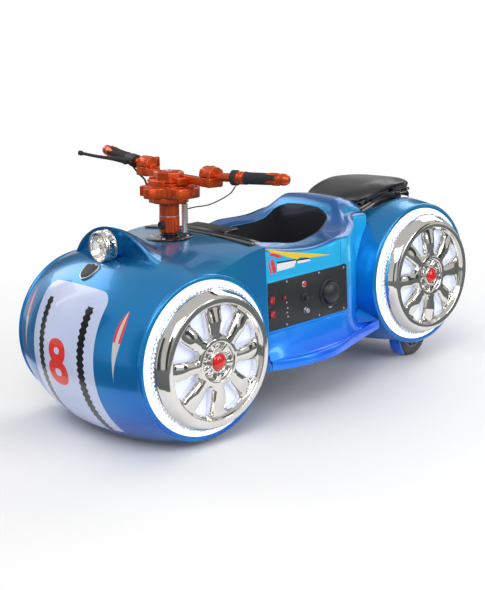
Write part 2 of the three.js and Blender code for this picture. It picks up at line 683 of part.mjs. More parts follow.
const body = new THREE.Group();
machine.add(body);
add(body, 'front_fairing', frontFairing(), blue);
add(body, 'headlight_cowl', headlightCowl(), blue);
add(body, 'headlight_housing', headlight(), chrome);
add(body, 'headlight_lens', headlightLens(), lens);
add(body, 'nose_badge', badge(), silver);
add(body, 'mid_body', midBody(), blue);
add(body, 'cockpit_tub', cockpitTub(), gloss);
add(body, 'hood_trim', hoodTrim(), gloss);
add(body, 'column_base_plate', columnBasePlate(), gloss);
add(body, 'rear_fairing', rearFairing(), blue);
add(body, 'seat_cushion', seatCushion(), matt);
add(body, 'seat_pan', seatPan(), gloss);
add(body, 'chassis_frame', chassisFrame(), steel);
add(body, 'battery_box', box(-battery.halfWidth, battery.halfWidth, battery.front, battery.rear,
  rail.bottom + rail.size + gap, battery.top), matt);
for (const [name, side] of [['left', 1], ['right', -1]]) {
  add(body, `control_panel_${name}`, controlPanel(side), panelGrey);
  add(body, `footboard_${name}`, footboard(side), blue);
  add(body, `rear_wheel_bracket_${name}`, rearWheelBracket(side), blue);
  addWheelDressing(body, `front_${name}`, frontBarrel, frontAxle, side);
  addWheelDressing(body, `rear_${name}`, rearBarrel, rearAxle, side);
  const wheel = add(body, `rear_wheel_${name}`, wheelSolid(rearWheel.radius, rearWheel.width), tyre);
  wheel.position.set(side * rearWheel.x, rearWheel.y, rearWheel.radius);
}

const steering = new THREE.Group();
steering.position.set(0, steer.y, steer.z);
steering.rotation.set(-steer.rake, 0, steer.parked);
machine.add(steering);
add(steering, 'steering_column', steeringColumn(), orange);
add(steering, 'steering_plate', steeringPlate(), orange);
add(steering, 'steering_hub', steeringHub(), orange);
add(steering, 'cable_conduit', conduit(), silver);
add(steering, 'brake_cable', brakeCable(), matt);
add(steering, 'throttle_wire', throttleWire(), silver);
add(steering, 'drive_fork', driveFork(), steel);
add(steering, 'drive_motor', driveMotor(), steel);
const wheel = add(steering, 'drive_wheel', wheelSolid(driveWheel.radius, driveWheel.width), tyre);
wheel.position.z = -wheelDrop;

const bars = new THREE.Group();
bars.applyMatrix4(leanMatrix);
steering.add(bars);
for (const [name, side] of [['left', 1], ['right', -1]]) {
  add(bars, `handlebar_clamp_${name}`, handlebarClamp(side), orange);
  const barGroup = new THREE.Group();
  barGroup.applyMatrix4(barMatrix(side));
  bars.add(barGroup);
  add(barGroup, `handlebar_${name}`, handlebar(), orange);
  add(barGroup, `grip_${name}`, gripSleeve(), matt);
  if (side > 0) add(barGroup, 'throttle_flange', gripFlange(), gloss);
  else add(barGroup, 'brake_lever', brakeLever(), gloss);
}

export default machine;
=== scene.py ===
import math

import bpy
from mathutils import Matrix, Vector


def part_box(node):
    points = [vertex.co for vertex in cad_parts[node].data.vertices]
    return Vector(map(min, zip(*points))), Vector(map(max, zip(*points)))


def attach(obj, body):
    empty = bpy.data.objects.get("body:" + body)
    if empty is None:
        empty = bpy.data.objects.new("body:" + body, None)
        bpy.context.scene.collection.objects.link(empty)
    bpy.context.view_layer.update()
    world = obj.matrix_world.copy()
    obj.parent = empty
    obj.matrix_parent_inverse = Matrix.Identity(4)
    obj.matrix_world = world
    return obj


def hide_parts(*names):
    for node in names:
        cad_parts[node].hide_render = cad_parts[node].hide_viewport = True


# A fairground bumper ride shaped like a racing motorcycle. Front is -Y, the rider's left is +X.
# Sizes below are in millimetres; the makers of shapes turn them into metres.

mm = 0.001
pi = math.pi

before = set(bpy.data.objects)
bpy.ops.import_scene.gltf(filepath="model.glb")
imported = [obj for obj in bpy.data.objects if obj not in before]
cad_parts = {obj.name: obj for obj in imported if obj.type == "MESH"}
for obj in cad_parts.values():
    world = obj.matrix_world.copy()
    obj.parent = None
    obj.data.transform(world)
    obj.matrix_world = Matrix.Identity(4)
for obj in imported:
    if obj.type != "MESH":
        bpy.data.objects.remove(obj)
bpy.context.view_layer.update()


# Camera, floor and light, in metres.
cameraView = {"target": (0, -0.079, 0.340), "distance": 3.9125, "azimuth": 48.79, "elevation": 13.83,
              "roll": -2.76, "lens": 67.15}


def placeCamera():
    v = cameraView
    azimuth, elevation = math.radians(v["azimuth"]), math.radians(v["elevation"])
    out = Vector((math.sin(azimuth) * math.cos(elevation), -math.cos(azimuth) * math.cos(elevation),
                  math.sin(elevation)))
    bpy.ops.object.camera_add(location=Vector(v["target"]) + out * v["distance"])
    camera = bpy.context.object
    turn = out.to_track_quat('Z', 'Y').to_matrix() @ Matrix.Rotation(math.radians(v["roll"]), 3, 'Z')
    camera.rotation_euler = turn.to_euler()
    camera.data.lens = v["lens"]
    bpy.context.scene.camera = camera


# Each lamp: place, power and size.
studio = {"key": (3.0, -3.4, 4.4, 120, 3.0), "side": (4.6, 1.2, 2.2, 95, 2.6),
          "left": (-4.4, -1.2, 3.2, 65, 3.0), "back": (-1.0, 4.2, 3.4, 65, 3.0), "aim": 0.3, "ambient": 0.58,
          "floorTone": 0.88, "floorRoughness": 0.9, "floorDrop": 0.0005, "floorNear": 1.0, "floorFar": 2.6}


def addLamp(name, x, y, z, power, size):
    bpy.ops.object.light_add(type='AREA', location=(x, y, z))
    lamp = bpy.context.object
    lamp.name = name
    lamp.data.energy = power
    lamp.data.size = size
    lamp.rotation_euler = Vector((x, y, z - studio["aim"])).to_track_quat('Z', 'Y').to_euler()


def buildStudio():
    # The camera sees plain white; all else is lit by a softer white.
    for name in ("key", "side", "left", "back"):
        addLamp(name + "Light", *studio[name])
    bpy.context.scene.view_settings.view_transform = 'Standard'
    world = bpy.data.worlds.new("studioWorld")
    bpy.context.scene.world = world
    world.use_nodes = True
    tree = world.node_tree
    tree.nodes.clear()
    path = tree.nodes.new('ShaderNodeLightPath')
    seen = calcIn(tree)('MAXIMUM', path.outputs['Is Camera Ray'], path.outputs['Is Transmission Ray'])
    both = tree.nodes.new('ShaderNodeMixShader')
    tree.links.new(seen, both.inputs[0])
    for place, strength in ((1, studio["ambient"]), (2, 1.0)):
        light = tree.nodes.new('ShaderNodeBackground')
        light.inputs['Color'].default_value = (1, 1, 1, 1)
        light.inputs['Strength'].default_value = strength
        tree.links.new(light.outputs[0], both.inputs[place])
    output = tree.nodes.new('ShaderNodeOutputWorld')
    tree.links.new(both.outputs[0], output.inputs['Surface'])


def buildFloor():
    # The pale floor fades into the white surroundings, so that no horizon shows.
    bpy.ops.mesh.primitive_plane_add(size=2 * studio["floorFar"], location=(0, 0, -studio["floorDrop"]))
    floor = bpy.context.object
    floor.name = "studioFloor"
    tone = bpy.data.materials.new("paleFloor")
    tone.use_nodes = True
    tree = tone.node_tree
    shade = tree.nodes["Principled BSDF"]
    shade.inputs['Base Color'].default_value = (studio["floorTone"],) * 3 + (1,)
    shade.inputs['Roughness'].default_value = studio["floorRoughness"]
    calc = calcIn(tree)
    x, y, z = objectPlace(tree)
    away = calc('SQRT', calc('ADD', calc('MULTIPLY', x, x), calc('MULTIPLY', y, y)))
    near, far = studio["floorNear"], studio["floorFar"]
    fade = calc('DIVIDE', calc('SUBTRACT', away, near), far - near)
    clear, both = tree.nodes.new('ShaderNodeBsdfTransparent'), tree.nodes.new('ShaderNodeMixShader')
    tree.links.new(clamped(calc, fade), both.inputs[0])
    tree.links.new(shade.outputs[0], both.inputs[1])
    tree.links.new(clear.outputs[0], both.inputs[2])
    tree.links.new(both.outputs[0], tree.nodes["Material Output"].inputs['Surface'])
    floor.data.materials.append(tone)


cards = {"lowInner": 1.15, "lowOuter": 3.4, "lowHeight": 0.006, "lowSteps": 48, "lowTone": (0.10, 0.115, 0.12),
         "wallDistance": 3.1, "wallWidth": 0.75, "wallTop": 2.1, "wallCount": 11, "wallStart": 0.35,
         "wallTone": (0.05, 0.06, 0.055)}


def finishCard(card, name, tone):
    # A dark surface that only shows in reflections, as studio flags do.
    card.name = name
    finish = bpy.data.materials.new(name)
    finish.use_nodes = True
    shader = finish.node_tree.nodes["Principled BSDF"]
    shader.inputs['Base Color'].default_value = (*tone, 1)
    shader.inputs['Roughness'].default_value = 1.0
    card.data.materials.append(finish)
    for ray in ("camera", "diffuse", "shadow", "transmission"):
        setattr(card, "visible_" + ray, False)


def buildCards():
    c = cards
    bpy.ops.mesh.primitive_grid_add(x_subdivisions=c["lowSteps"], y_subdivisions=2, size=2)
    lowCard = bpy.context.object
    for point in lowCard.data.vertices:
        angle = point.co.x * pi
        reach = c["lowInner"] + (c["lowOuter"] - c["lowInner"]) * (point.co.y + 1) / 2
        point.co = Vector((reach * math.cos(angle), reach * math.sin(angle), c["lowHeight"]))
    finishCard(lowCard, "lowCard", c["lowTone"])
    for k in range(c["wallCount"]):
        angle = 2 * pi * (k + c["wallStart"]) / c["wallCount"]
        place = (c["wallDistance"] * math.cos(angle), c["wallDistance"] * math.sin(angle), c["wallTop"] / 2)
        bpy.ops.mesh.primitive_plane_add(size=1, location=place, rotation=(pi / 2, 0, angle + pi / 2))
        card = bpy.context.object
        card.scale = (c["wallWidth"], c["wallTop"], 1)
        finishCard(card, f"wallCard{k}", c["wallTone"])


# Shape makers.
def deselect():
    if bpy.context.object and bpy.context.object.mode != 'OBJECT':
        bpy.ops.object.mode_set(mode='OBJECT')
    bpy.ops.object.select_all(action='DESELECT')


def choose(piece):
    deselect()
    piece.select_set(True)
    bpy.context.view_layer.objects.active = piece


def cleanMesh(piece, smoothAngle=35, gap=0.02):
    choose(piece)
    bpy.ops.object.mode_set(mode='EDIT')
    bpy.ops.mesh.select_all(action='SELECT')
    bpy.ops.mesh.remove_doubles(threshold=gap * mm)
    bpy.ops.mesh.dissolve_degenerate(threshold=gap * mm)
    bpy.ops.mesh.normals_make_consistent(inside=False)
    bpy.ops.object.mode_set(mode='OBJECT')
    bpy.ops.object.shade_smooth_by_angle(angle=math.radians(smoothAngle))
    return piece


def fillHoles(piece):
    choose(piece)
    bpy.ops.object.mode_set(mode='EDIT')
    bpy.ops.mesh.select_all(action='SELECT')
    bpy.ops.mesh.fill_holes(sides=0)
    bpy.ops.object.mode_set(mode='OBJECT')
    return piece


def modify(piece, kind, **settings):
    choose(piece)
    modifier = piece.modifiers.new(kind.lower(), kind)
    for key, value in settings.items():
        setattr(modifier, key, value)
    bpy.ops.object.modifier_apply(modifier=modifier.name)
    return piece


def sheetOf(name, columns, rows, place, smoothAngle=35):
    # A grid primitive whose points are moved by place(u, v), in millimetres.
    deselect()
    bpy.ops.mesh.primitive_grid_add(x_subdivisions=columns, y_subdivisions=rows, size=2)
    piece = bpy.context.object
    piece.name = name
    piece.data.name = name
    for point in piece.data.vertices:
        u, v = (point.co.x + 1) / 2, (point.co.y + 1) / 2
        point.co = Vector(place(u, v)) * mm
    return cleanMesh(piece, smoothAngle)


def rounded(points, radius, steps=4, closed=False):
    # The outline with its corners turned into short curves.
    result = []
    count = len(points)
    for k, point in enumerate(points):
        corner = Vector(point)
        if not closed and k in (0, count - 1):
            result.append(corner)
            continue
        before, after = Vector(points[k - 1]), Vector(points[(k + 1) % count])
        reach = radius[k] if isinstance(radius, (list, tuple)) else radius
        reach = min(reach, (before - corner).length * 0.48, (after - corner).length * 0.48)
        start = corner + (before - corner).normalized() * reach
        end = corner + (after - corner).normalized() * reach
        for step in range(steps + 1):
            t = step / steps
            result.append(start * (1 - t) ** 2 + corner * 2 * t * (1 - t) + end * t ** 2)
    return result


def lathe(name, profile, centre=(0, 0, 0), axis='X', steps=64, smoothAngle=35, wobble=None):
    # Profile points are (radius, distance along the axis).
    last = len(profile) - 1
    middle = Vector(centre)

    def place(u, v):
        radius, along = profile[round(v * last)]
        angle = 2 * pi * u
        if wobble:
            radius += wobble(angle, radius, along)
        across = (radius * math.cos(angle), radius * math.sin(angle))
        offset = {'X': (along, *across), 'Y': (across[0], along, across[1]), 'Z': (*across, along)}[axis]
        return middle + Vector(offset)
    return sheetOf(name, steps, last, place, smoothAngle)


def walled(piece, wall, bevel, segments, angle):
    # Gives a sheet its thickness inwards, and rounds the edges sharper than the angle.
    modify(piece, 'SOLIDIFY', thickness=wall * mm, offset=-1)
    return modify(piece, 'BEVEL', width=bevel * mm, segments=segments, limit_method='ANGLE',
                  angle_limit=math.radians(angle))


def spun(name, points, corners, curve=3, **settings):
    # A lathed piece whose profile has rounded corners.
    return lathe(name, rounded(points, corners, curve), **settings)


def block(name, low, high, bevel=2, segments=3):
    low, high = Vector(low), Vector(high)
    deselect()
    bpy.ops.mesh.primitive_cube_add(size=1, location=(low + high) / 2 * mm)
    piece = bpy.context.object
    piece.name = name
    piece.data.name = name
    piece.scale = (high - low) * mm
    bpy.ops.object.transform_apply(location=True, rotation=True, scale=True)
    if bevel:
        modify(piece, 'BEVEL', width=bevel * mm, segments=segments, limit_method='ANGLE')
    return cleanMesh(piece)


def slab(name, outline, bottom, top, bevel=1.5, segments=2):
    # A flat plate with the given outline in X and Y, raised from bottom to top.
    deselect()
    bpy.ops.mesh.primitive_circle_add(vertices=len(outline), fill_type='NGON', radius=1)
    piece = bpy.context.object
    piece.name = name
    piece.data.name = name
    for point, place in zip(piece.data.vertices, outline):
        point.co = Vector((place[0], place[1], bottom)) * mm
    bpy.ops.object.mode_set(mode='EDIT')
    bpy.ops.mesh.select_all(action='SELECT')
    bpy.ops.mesh.extrude_region_move(TRANSFORM_OT_translate={"value": (0, 0, (top - bottom) * mm)})
    bpy.ops.object.mode_set(mode='OBJECT')
    if bevel:
        modify(piece, 'BEVEL', width=bevel * mm, segments=segments, limit_method='ANGLE')
    return cleanMesh(piece)


def smoothPath(points, steps):
    # A curve through the points, with evenly many steps between each pair.
    spots = [Vector(p) for p in points]
    spots = [spots[0] * 2 - spots[1]] + spots + [spots[-1] * 2 - spots[-2]]
    path = []
    for k in range(1, len(spots) - 2):
        a, b, c, d = spots[k - 1:k + 3]
        for step in range(steps):
            t = step / steps
            path.append(0.5 * (2 * b + (c - a) * t + (2 * a - 5 * b + 4 * c - d) * t ** 2
                               + (3 * b - a - 3 * c + d) * t ** 3))
    path.append(spots[-2])
    return path


def tubeAlong(name, path, radius, sides=16, smoothAngle=40):
    # A closed round tube along the path; radius may be a function of the place along it.
    widths = [radius(k / (len(path) - 1)) if callable(radius) else radius for k in range(len(path))]
    ways = [(path[min(k + 1, len(path) - 1)] - path[max(k - 1, 0)]).normalized() for k in range(len(path))]
    side = ways[0].orthogonal().normalized()
    frames = []
    for way in ways:
        side = (side - way * side.dot(way)).normalized()
        frames.append((side, way.cross(side)))
    last = len(path) + 1

    def place(u, v):
        k = min(max(round(v * last) - 1, 0), len(path) - 1)
        width = 0 if round(v * last) in (0, last) else widths[k]
        across, up = frames[k]
        return path[k] + across * (width * math.cos(2 * pi * u)) + up * (width * math.sin(2 * pi * u))
    return sheetOf(name, sides, last, place, smoothAngle)


def copyTurned(piece, name, matrix):
    twin = piece.copy()
    twin.data = piece.data.copy()
    twin.name = name
    twin.data.name = name
    bpy.context.scene.collection.objects.link(twin)
    twin.data.transform(matrix)
    if matrix.determinant() < 0:
        twin.data.flip_normals()
    return twin


def joined(name, pieces):
    deselect()
    for piece in pieces:
        piece.select_set(True)
    bpy.context.view_layer.objects.active = pieces[0]
    bpy.ops.object.join()
    pieces[0].name = name
    pieces[0].data.name = name
    return pieces[0]


def carve(piece, cutter):
    modify(piece, 'BOOLEAN', object=cutter, operation='DIFFERENCE', solver='EXACT')
    bpy.data.objects.remove(cutter)


def drop(piece, chosen):
    # Deletes the faces whose middle is chosen, in millimetres.
    choose(piece)
    bpy.ops.object.mode_set(mode='EDIT')
    bpy.ops.mesh.select_all(action='DESELECT')
    bpy.ops.object.mode_set(mode='OBJECT')
    for face in piece.data.polygons:
        face.select = bool(chosen(face.center / mm))
    bpy.ops.object.mode_set(mode='EDIT')
    bpy.ops.mesh.delete(type='FACE')
    bpy.ops.object.mode_set(mode='OBJECT')
    return piece


mirror = Matrix.Scale(-1, 4, (1, 0, 0))


def mirrorX(piece, name):
    return copyTurned(piece, name, mirror)


def mirrorInto(piece):
    piece.data.transform(mirror)
    piece.data.flip_normals()
    return piece


def turned(degrees, axis):
    return Matrix.Rotation(math.radians(degrees), 4, axis)


def shifted(x, y, z):
    return Matrix.Translation((x * mm, y * mm, z * mm))


def smooth(t):
    t = min(max(t, 0), 1)
    return t * t * (3 - 2 * t)


def mix(a, b, t):
    return a + (b - a) * t


def settle(piece, body, slot, finish, *nodes):
    # Gives a finished piece its material and its body, and hides the CAD nodes that it stands for.
    piece.data.materials.clear()
    piece.data.materials.append(finish)
    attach(piece, body)
    if nodes:
        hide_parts(*nodes)
    return piece


# Finishes.
def calcIn(tree):
    # Short way to write arithmetic with nodes: numbers stay values, sockets are linked.
    def calc(operation, *terms):
        node = tree.nodes.new('ShaderNodeMath')
        node.operation = operation
        for k, term in enumerate(terms):
            if isinstance(term, (int, float)):
                node.inputs[k].default_value = term
            else:
                tree.links.new(term, node.inputs[k])
        return node.outputs[0]
    return calc


def clamped(calc, value):
    return calc('MINIMUM', calc('MAXIMUM', value, 0.0), 1.0)


def blendIn(tree, share, first, second):
    node = tree.nodes.new('ShaderNodeMix')
    node.data_type = 'RGBA'
    for place, term in ((0, share), (6, first), (7, second)):
        if isinstance(term, tuple):
            node.inputs[place].default_value = (*term[:3], 1)
        else:
            tree.links.new(term, node.inputs[place])
    return node.outputs[2]


def noiseIn(tree, scale, detail=2.0):
    # Noise on the object's own coordinates; the scale is a number or a socket.
    place, noise = tree.nodes.new('ShaderNodeTexCoord'), tree.nodes.new('ShaderNodeTexNoise')
    tree.links.new(place.outputs['Object'], noise.inputs['Vector'])
    noise.inputs['Detail'].default_value = detail
    if isinstance(scale, (int, float)):
        noise.inputs['Scale'].default_value = scale
    else:
        tree.links.new(scale, noise.inputs['Scale'])
    return noise.outputs[0]


def reliefIn(tree, height, distance, strength):
    relief = tree.nodes.new('ShaderNodeBump')
    relief.inputs['Distance'].default_value = distance * mm
    relief.inputs['Strength'].default_value = strength
    tree.links.new(height, relief.inputs['Height'])
    tree.links.new(relief.outputs['Normal'], tree.nodes["Principled BSDF"].inputs['Normal'])


def newGroup(name, inputs, outputs):
    group = bpy.data.node_groups.new(name, 'ShaderNodeTree')
    for label, kind, value in inputs:
        socket = group.interface.new_socket(label, in_out='INPUT', socket_type='NodeSocket' + kind)
        socket.default_value = (*value, 1) if kind == 'Color' else value
    for label, kind in outputs:
        group.interface.new_socket(label, in_out='OUTPUT', socket_type='NodeSocket' + kind)
    return group, group.nodes.new('NodeGroupInput'), group.nodes.new('NodeGroupOutput')


grainShape = {"slow": 1.0, "fine": 14.0, "detail": 3, "from": 0.35, "limit": 0.4, "soft": 0.1, "gain": 2.5}


def makeGrainGroup():
    # Slow and fine unevenness of a surface: two tones, a varying roughness and a height.
    g = grainShape
    group, given, result = newGroup(
        "surfaceGrain",
        [("Color", 'Color', (0.5, 0.5, 0.5)), ("Shade", 'Color', (0.4, 0.4, 0.4)), ("Scale", 'Float', 20.0),
         ("Amount", 'Float', 0.5), ("Roughness", 'Float', 0.4), ("Spread", 'Float', 0.1)],
        [("Color", 'Color'), ("Roughness", 'Float'), ("Height", 'Float')])
    calc = calcIn(group)
    slow, fine = (noiseIn(group, calc('MULTIPLY', given.outputs['Scale'], g[key]), g["detail"])
                  for key in ("slow", "fine"))
    over = calc('MAXIMUM', calc('SUBTRACT', slow, g["from"]), 0.0)
    patches = calc('SMOOTH_MIN', over, g["limit"], g["soft"])
    share = calc('MULTIPLY', patches, calc('MULTIPLY', given.outputs['Amount'], g["gain"]))
    tone = blendIn(group, share, given.outputs['Color'], given.outputs['Shade'])
    group.links.new(tone, result.inputs['Color'])
    centred = calc('SUBTRACT', fine, 0.5)
    rough = calc('MULTIPLY_ADD', centred, given.outputs['Spread'], given.outputs['Roughness'])
    group.links.new(rough, result.inputs['Roughness'])
    group.links.new(fine, result.inputs['Height'])
    return group


def makeWearGroup():
    # Lightly worn edges: a mask from the angle between the real and the rounded normal.
    group, given, result = newGroup("edgeWear", [("Radius", 'Float', 0.002), ("Strength", 'Float', 0.6)],
                                    [("Mask", 'Float')])
    calc = calcIn(group)
    shape, bevel = group.nodes.new('ShaderNodeNewGeometry'), group.nodes.new('ShaderNodeBevel')
    group.links.new(given.outputs['Radius'], bevel.inputs['Radius'])
    dot = group.nodes.new('ShaderNodeVectorMath')
    dot.operation = 'DOT_PRODUCT'
    group.links.new(shape.outputs['Normal'], dot.inputs[0])
    group.links.new(bevel.outputs['Normal'], dot.inputs[1])
    gain = 6.0
    edge = calc('MULTIPLY', calc('SUBTRACT', 1.0, dot.outputs['Value']), gain)
    mask = calc('MULTIPLY', calc('MINIMUM', edge, 1.0), given.outputs['Strength'])
    group.links.new(mask, result.inputs['Mask'])
    return group


grainGroup = makeGrainGroup()
wearGroup = makeWearGroup()


def makeFinish(name, color, shade, roughness, metallic=0.0, coat=0.0, scale=20.0, amount=0.5, spread=0.1,
               bump=0.0, wear=0.0, wornColor=None):
    finish = bpy.data.materials.new(name)
    finish.use_nodes = True
    tree = finish.node_tree
    shader = tree.nodes["Principled BSDF"]
    shader.inputs['Metallic'].default_value = metallic
    shader.inputs['Coat Weight'].default_value = coat
    shader.inputs['Coat Roughness'].default_value = 0.04
    grain = tree.nodes.new('ShaderNodeGroup')
    grain.node_tree = grainGroup
    for label, value in (("Color", (*color, 1)), ("Shade", (*shade, 1)), ("Scale", scale), ("Amount", amount),
                         ("Roughness", roughness), ("Spread", spread)):
        grain.inputs[label].default_value = value
    tint = grain.outputs['Color']
    if wear:
        worn = tree.nodes.new('ShaderNodeGroup')
        worn.node_tree = wearGroup
        worn.inputs['Strength'].default_value = wear
        tint = blendIn(tree, worn.outputs['Mask'], tint, wornColor)
    tree.links.new(tint, shader.inputs['Base Color'])
    tree.links.new(grain.outputs['Roughness'], shader.inputs['Roughness'])
    if bump:
        reliefIn(tree, grain.outputs['Height'], bump, 0.6)
    return finish


def partsOf(finish):
    return finish.node_tree, finish.node_tree.nodes["Principled BSDF"], calcIn(finish.node_tree)


def objectPlace(tree):
    place, parts = tree.nodes.new('ShaderNodeTexCoord'), tree.nodes.new('ShaderNodeSeparateXYZ')
    tree.links.new(place.outputs['Object'], parts.inputs[0])
    return parts.outputs


# Painted light: the tones change with height, a deep blue low down, a brighter middle and a darker, greyer top
# as a painted reflection.
blueTonesWithPaintedLight = {"low": (0.0, 0.110, 0.520), "middle": (0.002, 0.250, 0.640), "high": (0.012, 0.200, 0.460),
                  "cloud": (0.0, 0.360, 0.620), "lowHeight": 0.10, "middleHeight": 0.36, "highHeight": 0.62,
                  "paintedTopShadeTurn": 0, "metallic": 0.60}
# A brighter copy of the same paint, for the sides and footboards, as painted light; its dark high tone goes
# only on surfaces facing upwards, as painted shade.
litSideTonesWithPaintedLight = {"low": (0.0, 0.130, 0.920), "middle": (0.020, 0.540, 1.0), "high": (0.003, 0.095, 0.330),
                  "cloud": (0.020, 0.600, 1.0), "lowHeight": 0.20, "middleHeight": 0.46, "highHeight": 0.53,
                  "paintedTopShadeTurn": 0.35, "metallic": 0.35}
pearl = {"paintedTopShadeGain": 3.0, "cloudScale": 4.2, "cloudDetail": 1.5, "cloudGain": 1.6, "flakeScale": 900,
         "flakeGain": 0.5}


def makePaintWithPaintedLight(name, t):
    # Pearl paint over the whole shell with painted light: a low, a middle and a high tone by height stand in
    # for shade and reflection, darker and greyer on top; faint clouds and fine flakes.
    finish = makeFinish(name, (0.01, 0.2, 0.5), (0.01, 0.2, 0.5), 0.26, t["metallic"], 0.45, 30, 0.3, 0.05)
    tree, shader, calc = partsOf(finish)
    height = objectPlace(tree)[2]
    lower, upper = (clamped(calc, calc('DIVIDE', calc('SUBTRACT', height, t[start]), t[end] - t[start]))
                    for start, end in (("lowHeight", "middleHeight"), ("middleHeight", "highHeight")))
    tone = blendIn(tree, lower, t["low"], t["middle"])
    # Surfaces facing upwards take the darker high tone: painted shade.
    if t["paintedTopShadeTurn"]:
        facing, parts = tree.nodes.new('ShaderNodeTexCoord'), tree.nodes.new('ShaderNodeSeparateXYZ')
        tree.links.new(facing.outputs['Normal'], parts.inputs[0])
        above = calc('SUBTRACT', parts.outputs[2], t["paintedTopShadeTurn"])
        upper = calc('MULTIPLY', upper, clamped(calc, calc('MULTIPLY', above, pearl["paintedTopShadeGain"])))
    tone = blendIn(tree, upper, tone, t["high"])
    cloud = calc('SUBTRACT', noiseIn(tree, pearl["cloudScale"], pearl["cloudDetail"]), 0.5)
    tone = blendIn(tree, clamped(calc, calc('MULTIPLY', cloud, pearl["cloudGain"])), tone, t["cloud"])
    flake = calc('SUBTRACT', noiseIn(tree, pearl["flakeScale"]), 0.5)
    shine = tree.nodes.new('ShaderNodeVectorMath')
    shine.operation = 'SCALE'
    tree.links.new(tone, shine.inputs[0])
    tree.links.new(calc('MULTIPLY_ADD', flake, pearl["flakeGain"], 1.0), shine.inputs['Scale'])
    tree.links.new(shine.outputs[0], shader.inputs['Base Color'])
    return finish


noseBand = {"radius": 318.0, "halfWidth": 168, "top": 46, "bottom": -47, "corner": 46, "beadPlace": 109,
            "beadWidth": 11, "beadDepth": 8, "beadPitch": 21, "beadTop": 35, "white": (0.66, 0.69, 0.86),
            "veil": (0.45, 0.56, 0.86), "veilScale": 6, "black": (0.006, 0.006, 0.008),
            "red": (0.78, 0.02, 0.015), "silver": (0.55, 0.56, 0.58), "metallic": 0.04, "eightX": -14,
            "eightPower": 2.3,
            "eightRings": ((31, 47, 40), (-38, 54, 43)), "eightHoles": ((32, 14, 11), (-38, 18, 12.5)),
            "slashFrom": -6, "slashLength": 46, "slashX": 243.0, "slashLean": 12.0, "slashWidth": 95.0,
            "coreWidth": 40.0, "redFrom": 0.55}


def makeNosePaintWithPaintedLight(axleY, axleZ):
    # The same paint with its painted light, and on it the white band, the two beaded lines, the plain 8 and the
    # side slashes.
    b = noseBand
    finish = makePaintWithPaintedLight("nosePaintWithPaintedLight", blueTonesWithPaintedLight)
    tree, shader, calc = partsOf(finish)
    x, y, z = objectPlace(tree)
    across = calc('DIVIDE', x, mm)
    wide = calc('ABSOLUTE', across)
    angle = calc('ARCTAN2', calc('SUBTRACT', z, axleZ), calc('SUBTRACT', axleY, y))
    along = calc('MULTIPLY', angle, b["radius"])
    degrees = pi * b["radius"] / 180

    def inside(value, edge):
        return calc('LESS_THAN', value, edge)

    def above(value, edge):
        return calc('GREATER_THAN', value, edge)

    def both(first, second):
        return calc('MULTIPLY', first, second)

    def squared(value):
        return calc('MULTIPLY', value, value)

    def oval(middle, halfX, halfAlong):
        terms = ((across, b["eightX"], halfX), (along, middle, halfAlong))
        powers = [calc('POWER', calc('ABSOLUTE', calc('DIVIDE', calc('SUBTRACT', place, centre), half)),
                       b["eightPower"]) for place, centre, half in terms]
        return inside(calc('ADD', *powers), 1.0)

    # the band with two round upper corners
    cornerX = calc('MAXIMUM', calc('SUBTRACT', wide, b["halfWidth"] - b["corner"]), 0.0)
    cornerUp = calc('MAXIMUM', calc('SUBTRACT', along, b["top"] * degrees - b["corner"]), 0.0)
    far = calc('SQRT', calc('ADD', squared(cornerX), squared(cornerUp)))
    overBottom = above(along, b["bottom"] * degrees)
    band = both(inside(far, b["corner"]), overBottom)
    # beaded black lines down both sides of the band
    bead = calc('PINGPONG', along, b["beadPitch"] / 2)
    beadEdge = calc('MULTIPLY_ADD', bead, 2 * b["beadDepth"] / b["beadPitch"], b["beadWidth"])
    offLine = calc('ABSOLUTE', calc('SUBTRACT', wide, b["beadPlace"]))
    line = both(inside(offLine, beadEdge), both(inside(along, b["beadTop"] * degrees), overBottom))
    rings, holes = (calc('MAXIMUM', *[oval(*values) for values in b[key]])
                    for key in ("eightRings", "eightHoles"))
    eight = both(rings, calc('SUBTRACT', 1.0, holes))
    # a long thin slash on each shoulder, red above and silver below
    reach = calc('DIVIDE', calc('SUBTRACT', along, b["slashFrom"] * degrees), b["slashLength"] * degrees)
    swell = both(squared(reach), calc('SUBTRACT', 1.0, reach))
    centre = calc('MULTIPLY_ADD', reach, b["slashLean"], b["slashX"])
    offset = calc('ABSOLUTE', calc('SUBTRACT', wide, centre))
    valid = both(above(reach, 0.0), inside(reach, 1.0))
    slash, core = (both(valid, inside(offset, calc('MULTIPLY', swell, b[key])))
                   for key in ("slashWidth", "coreWidth"))
    white = blendIn(tree, noiseIn(tree, b["veilScale"]), b["white"], b["veil"])
    slashTone = blendIn(tree, above(reach, b["redFrom"]), b["silver"], b["red"])
    tone = shader.inputs['Base Color'].links[0].from_socket
    for mask, color in ((band, white), (line, b["black"]), (eight, b["red"]), (slash, slashTone),
                        (core, b["silver"])):
        tone = blendIn(tree, mask, tone, color)
    tree.links.new(tone, shader.inputs['Base Color'])
    flat, metal = calc('MAXIMUM', band, slash), blueTonesWithPaintedLight["metallic"]
    tree.links.new(calc('MULTIPLY_ADD', flat, b["metallic"] - metal, metal), shader.inputs['Metallic'])
    return finish


glow = {"edge": 0.240, "fade": 0.016, "share": 0.75, "spotTone": (0.25, 0.42, 1.0)}


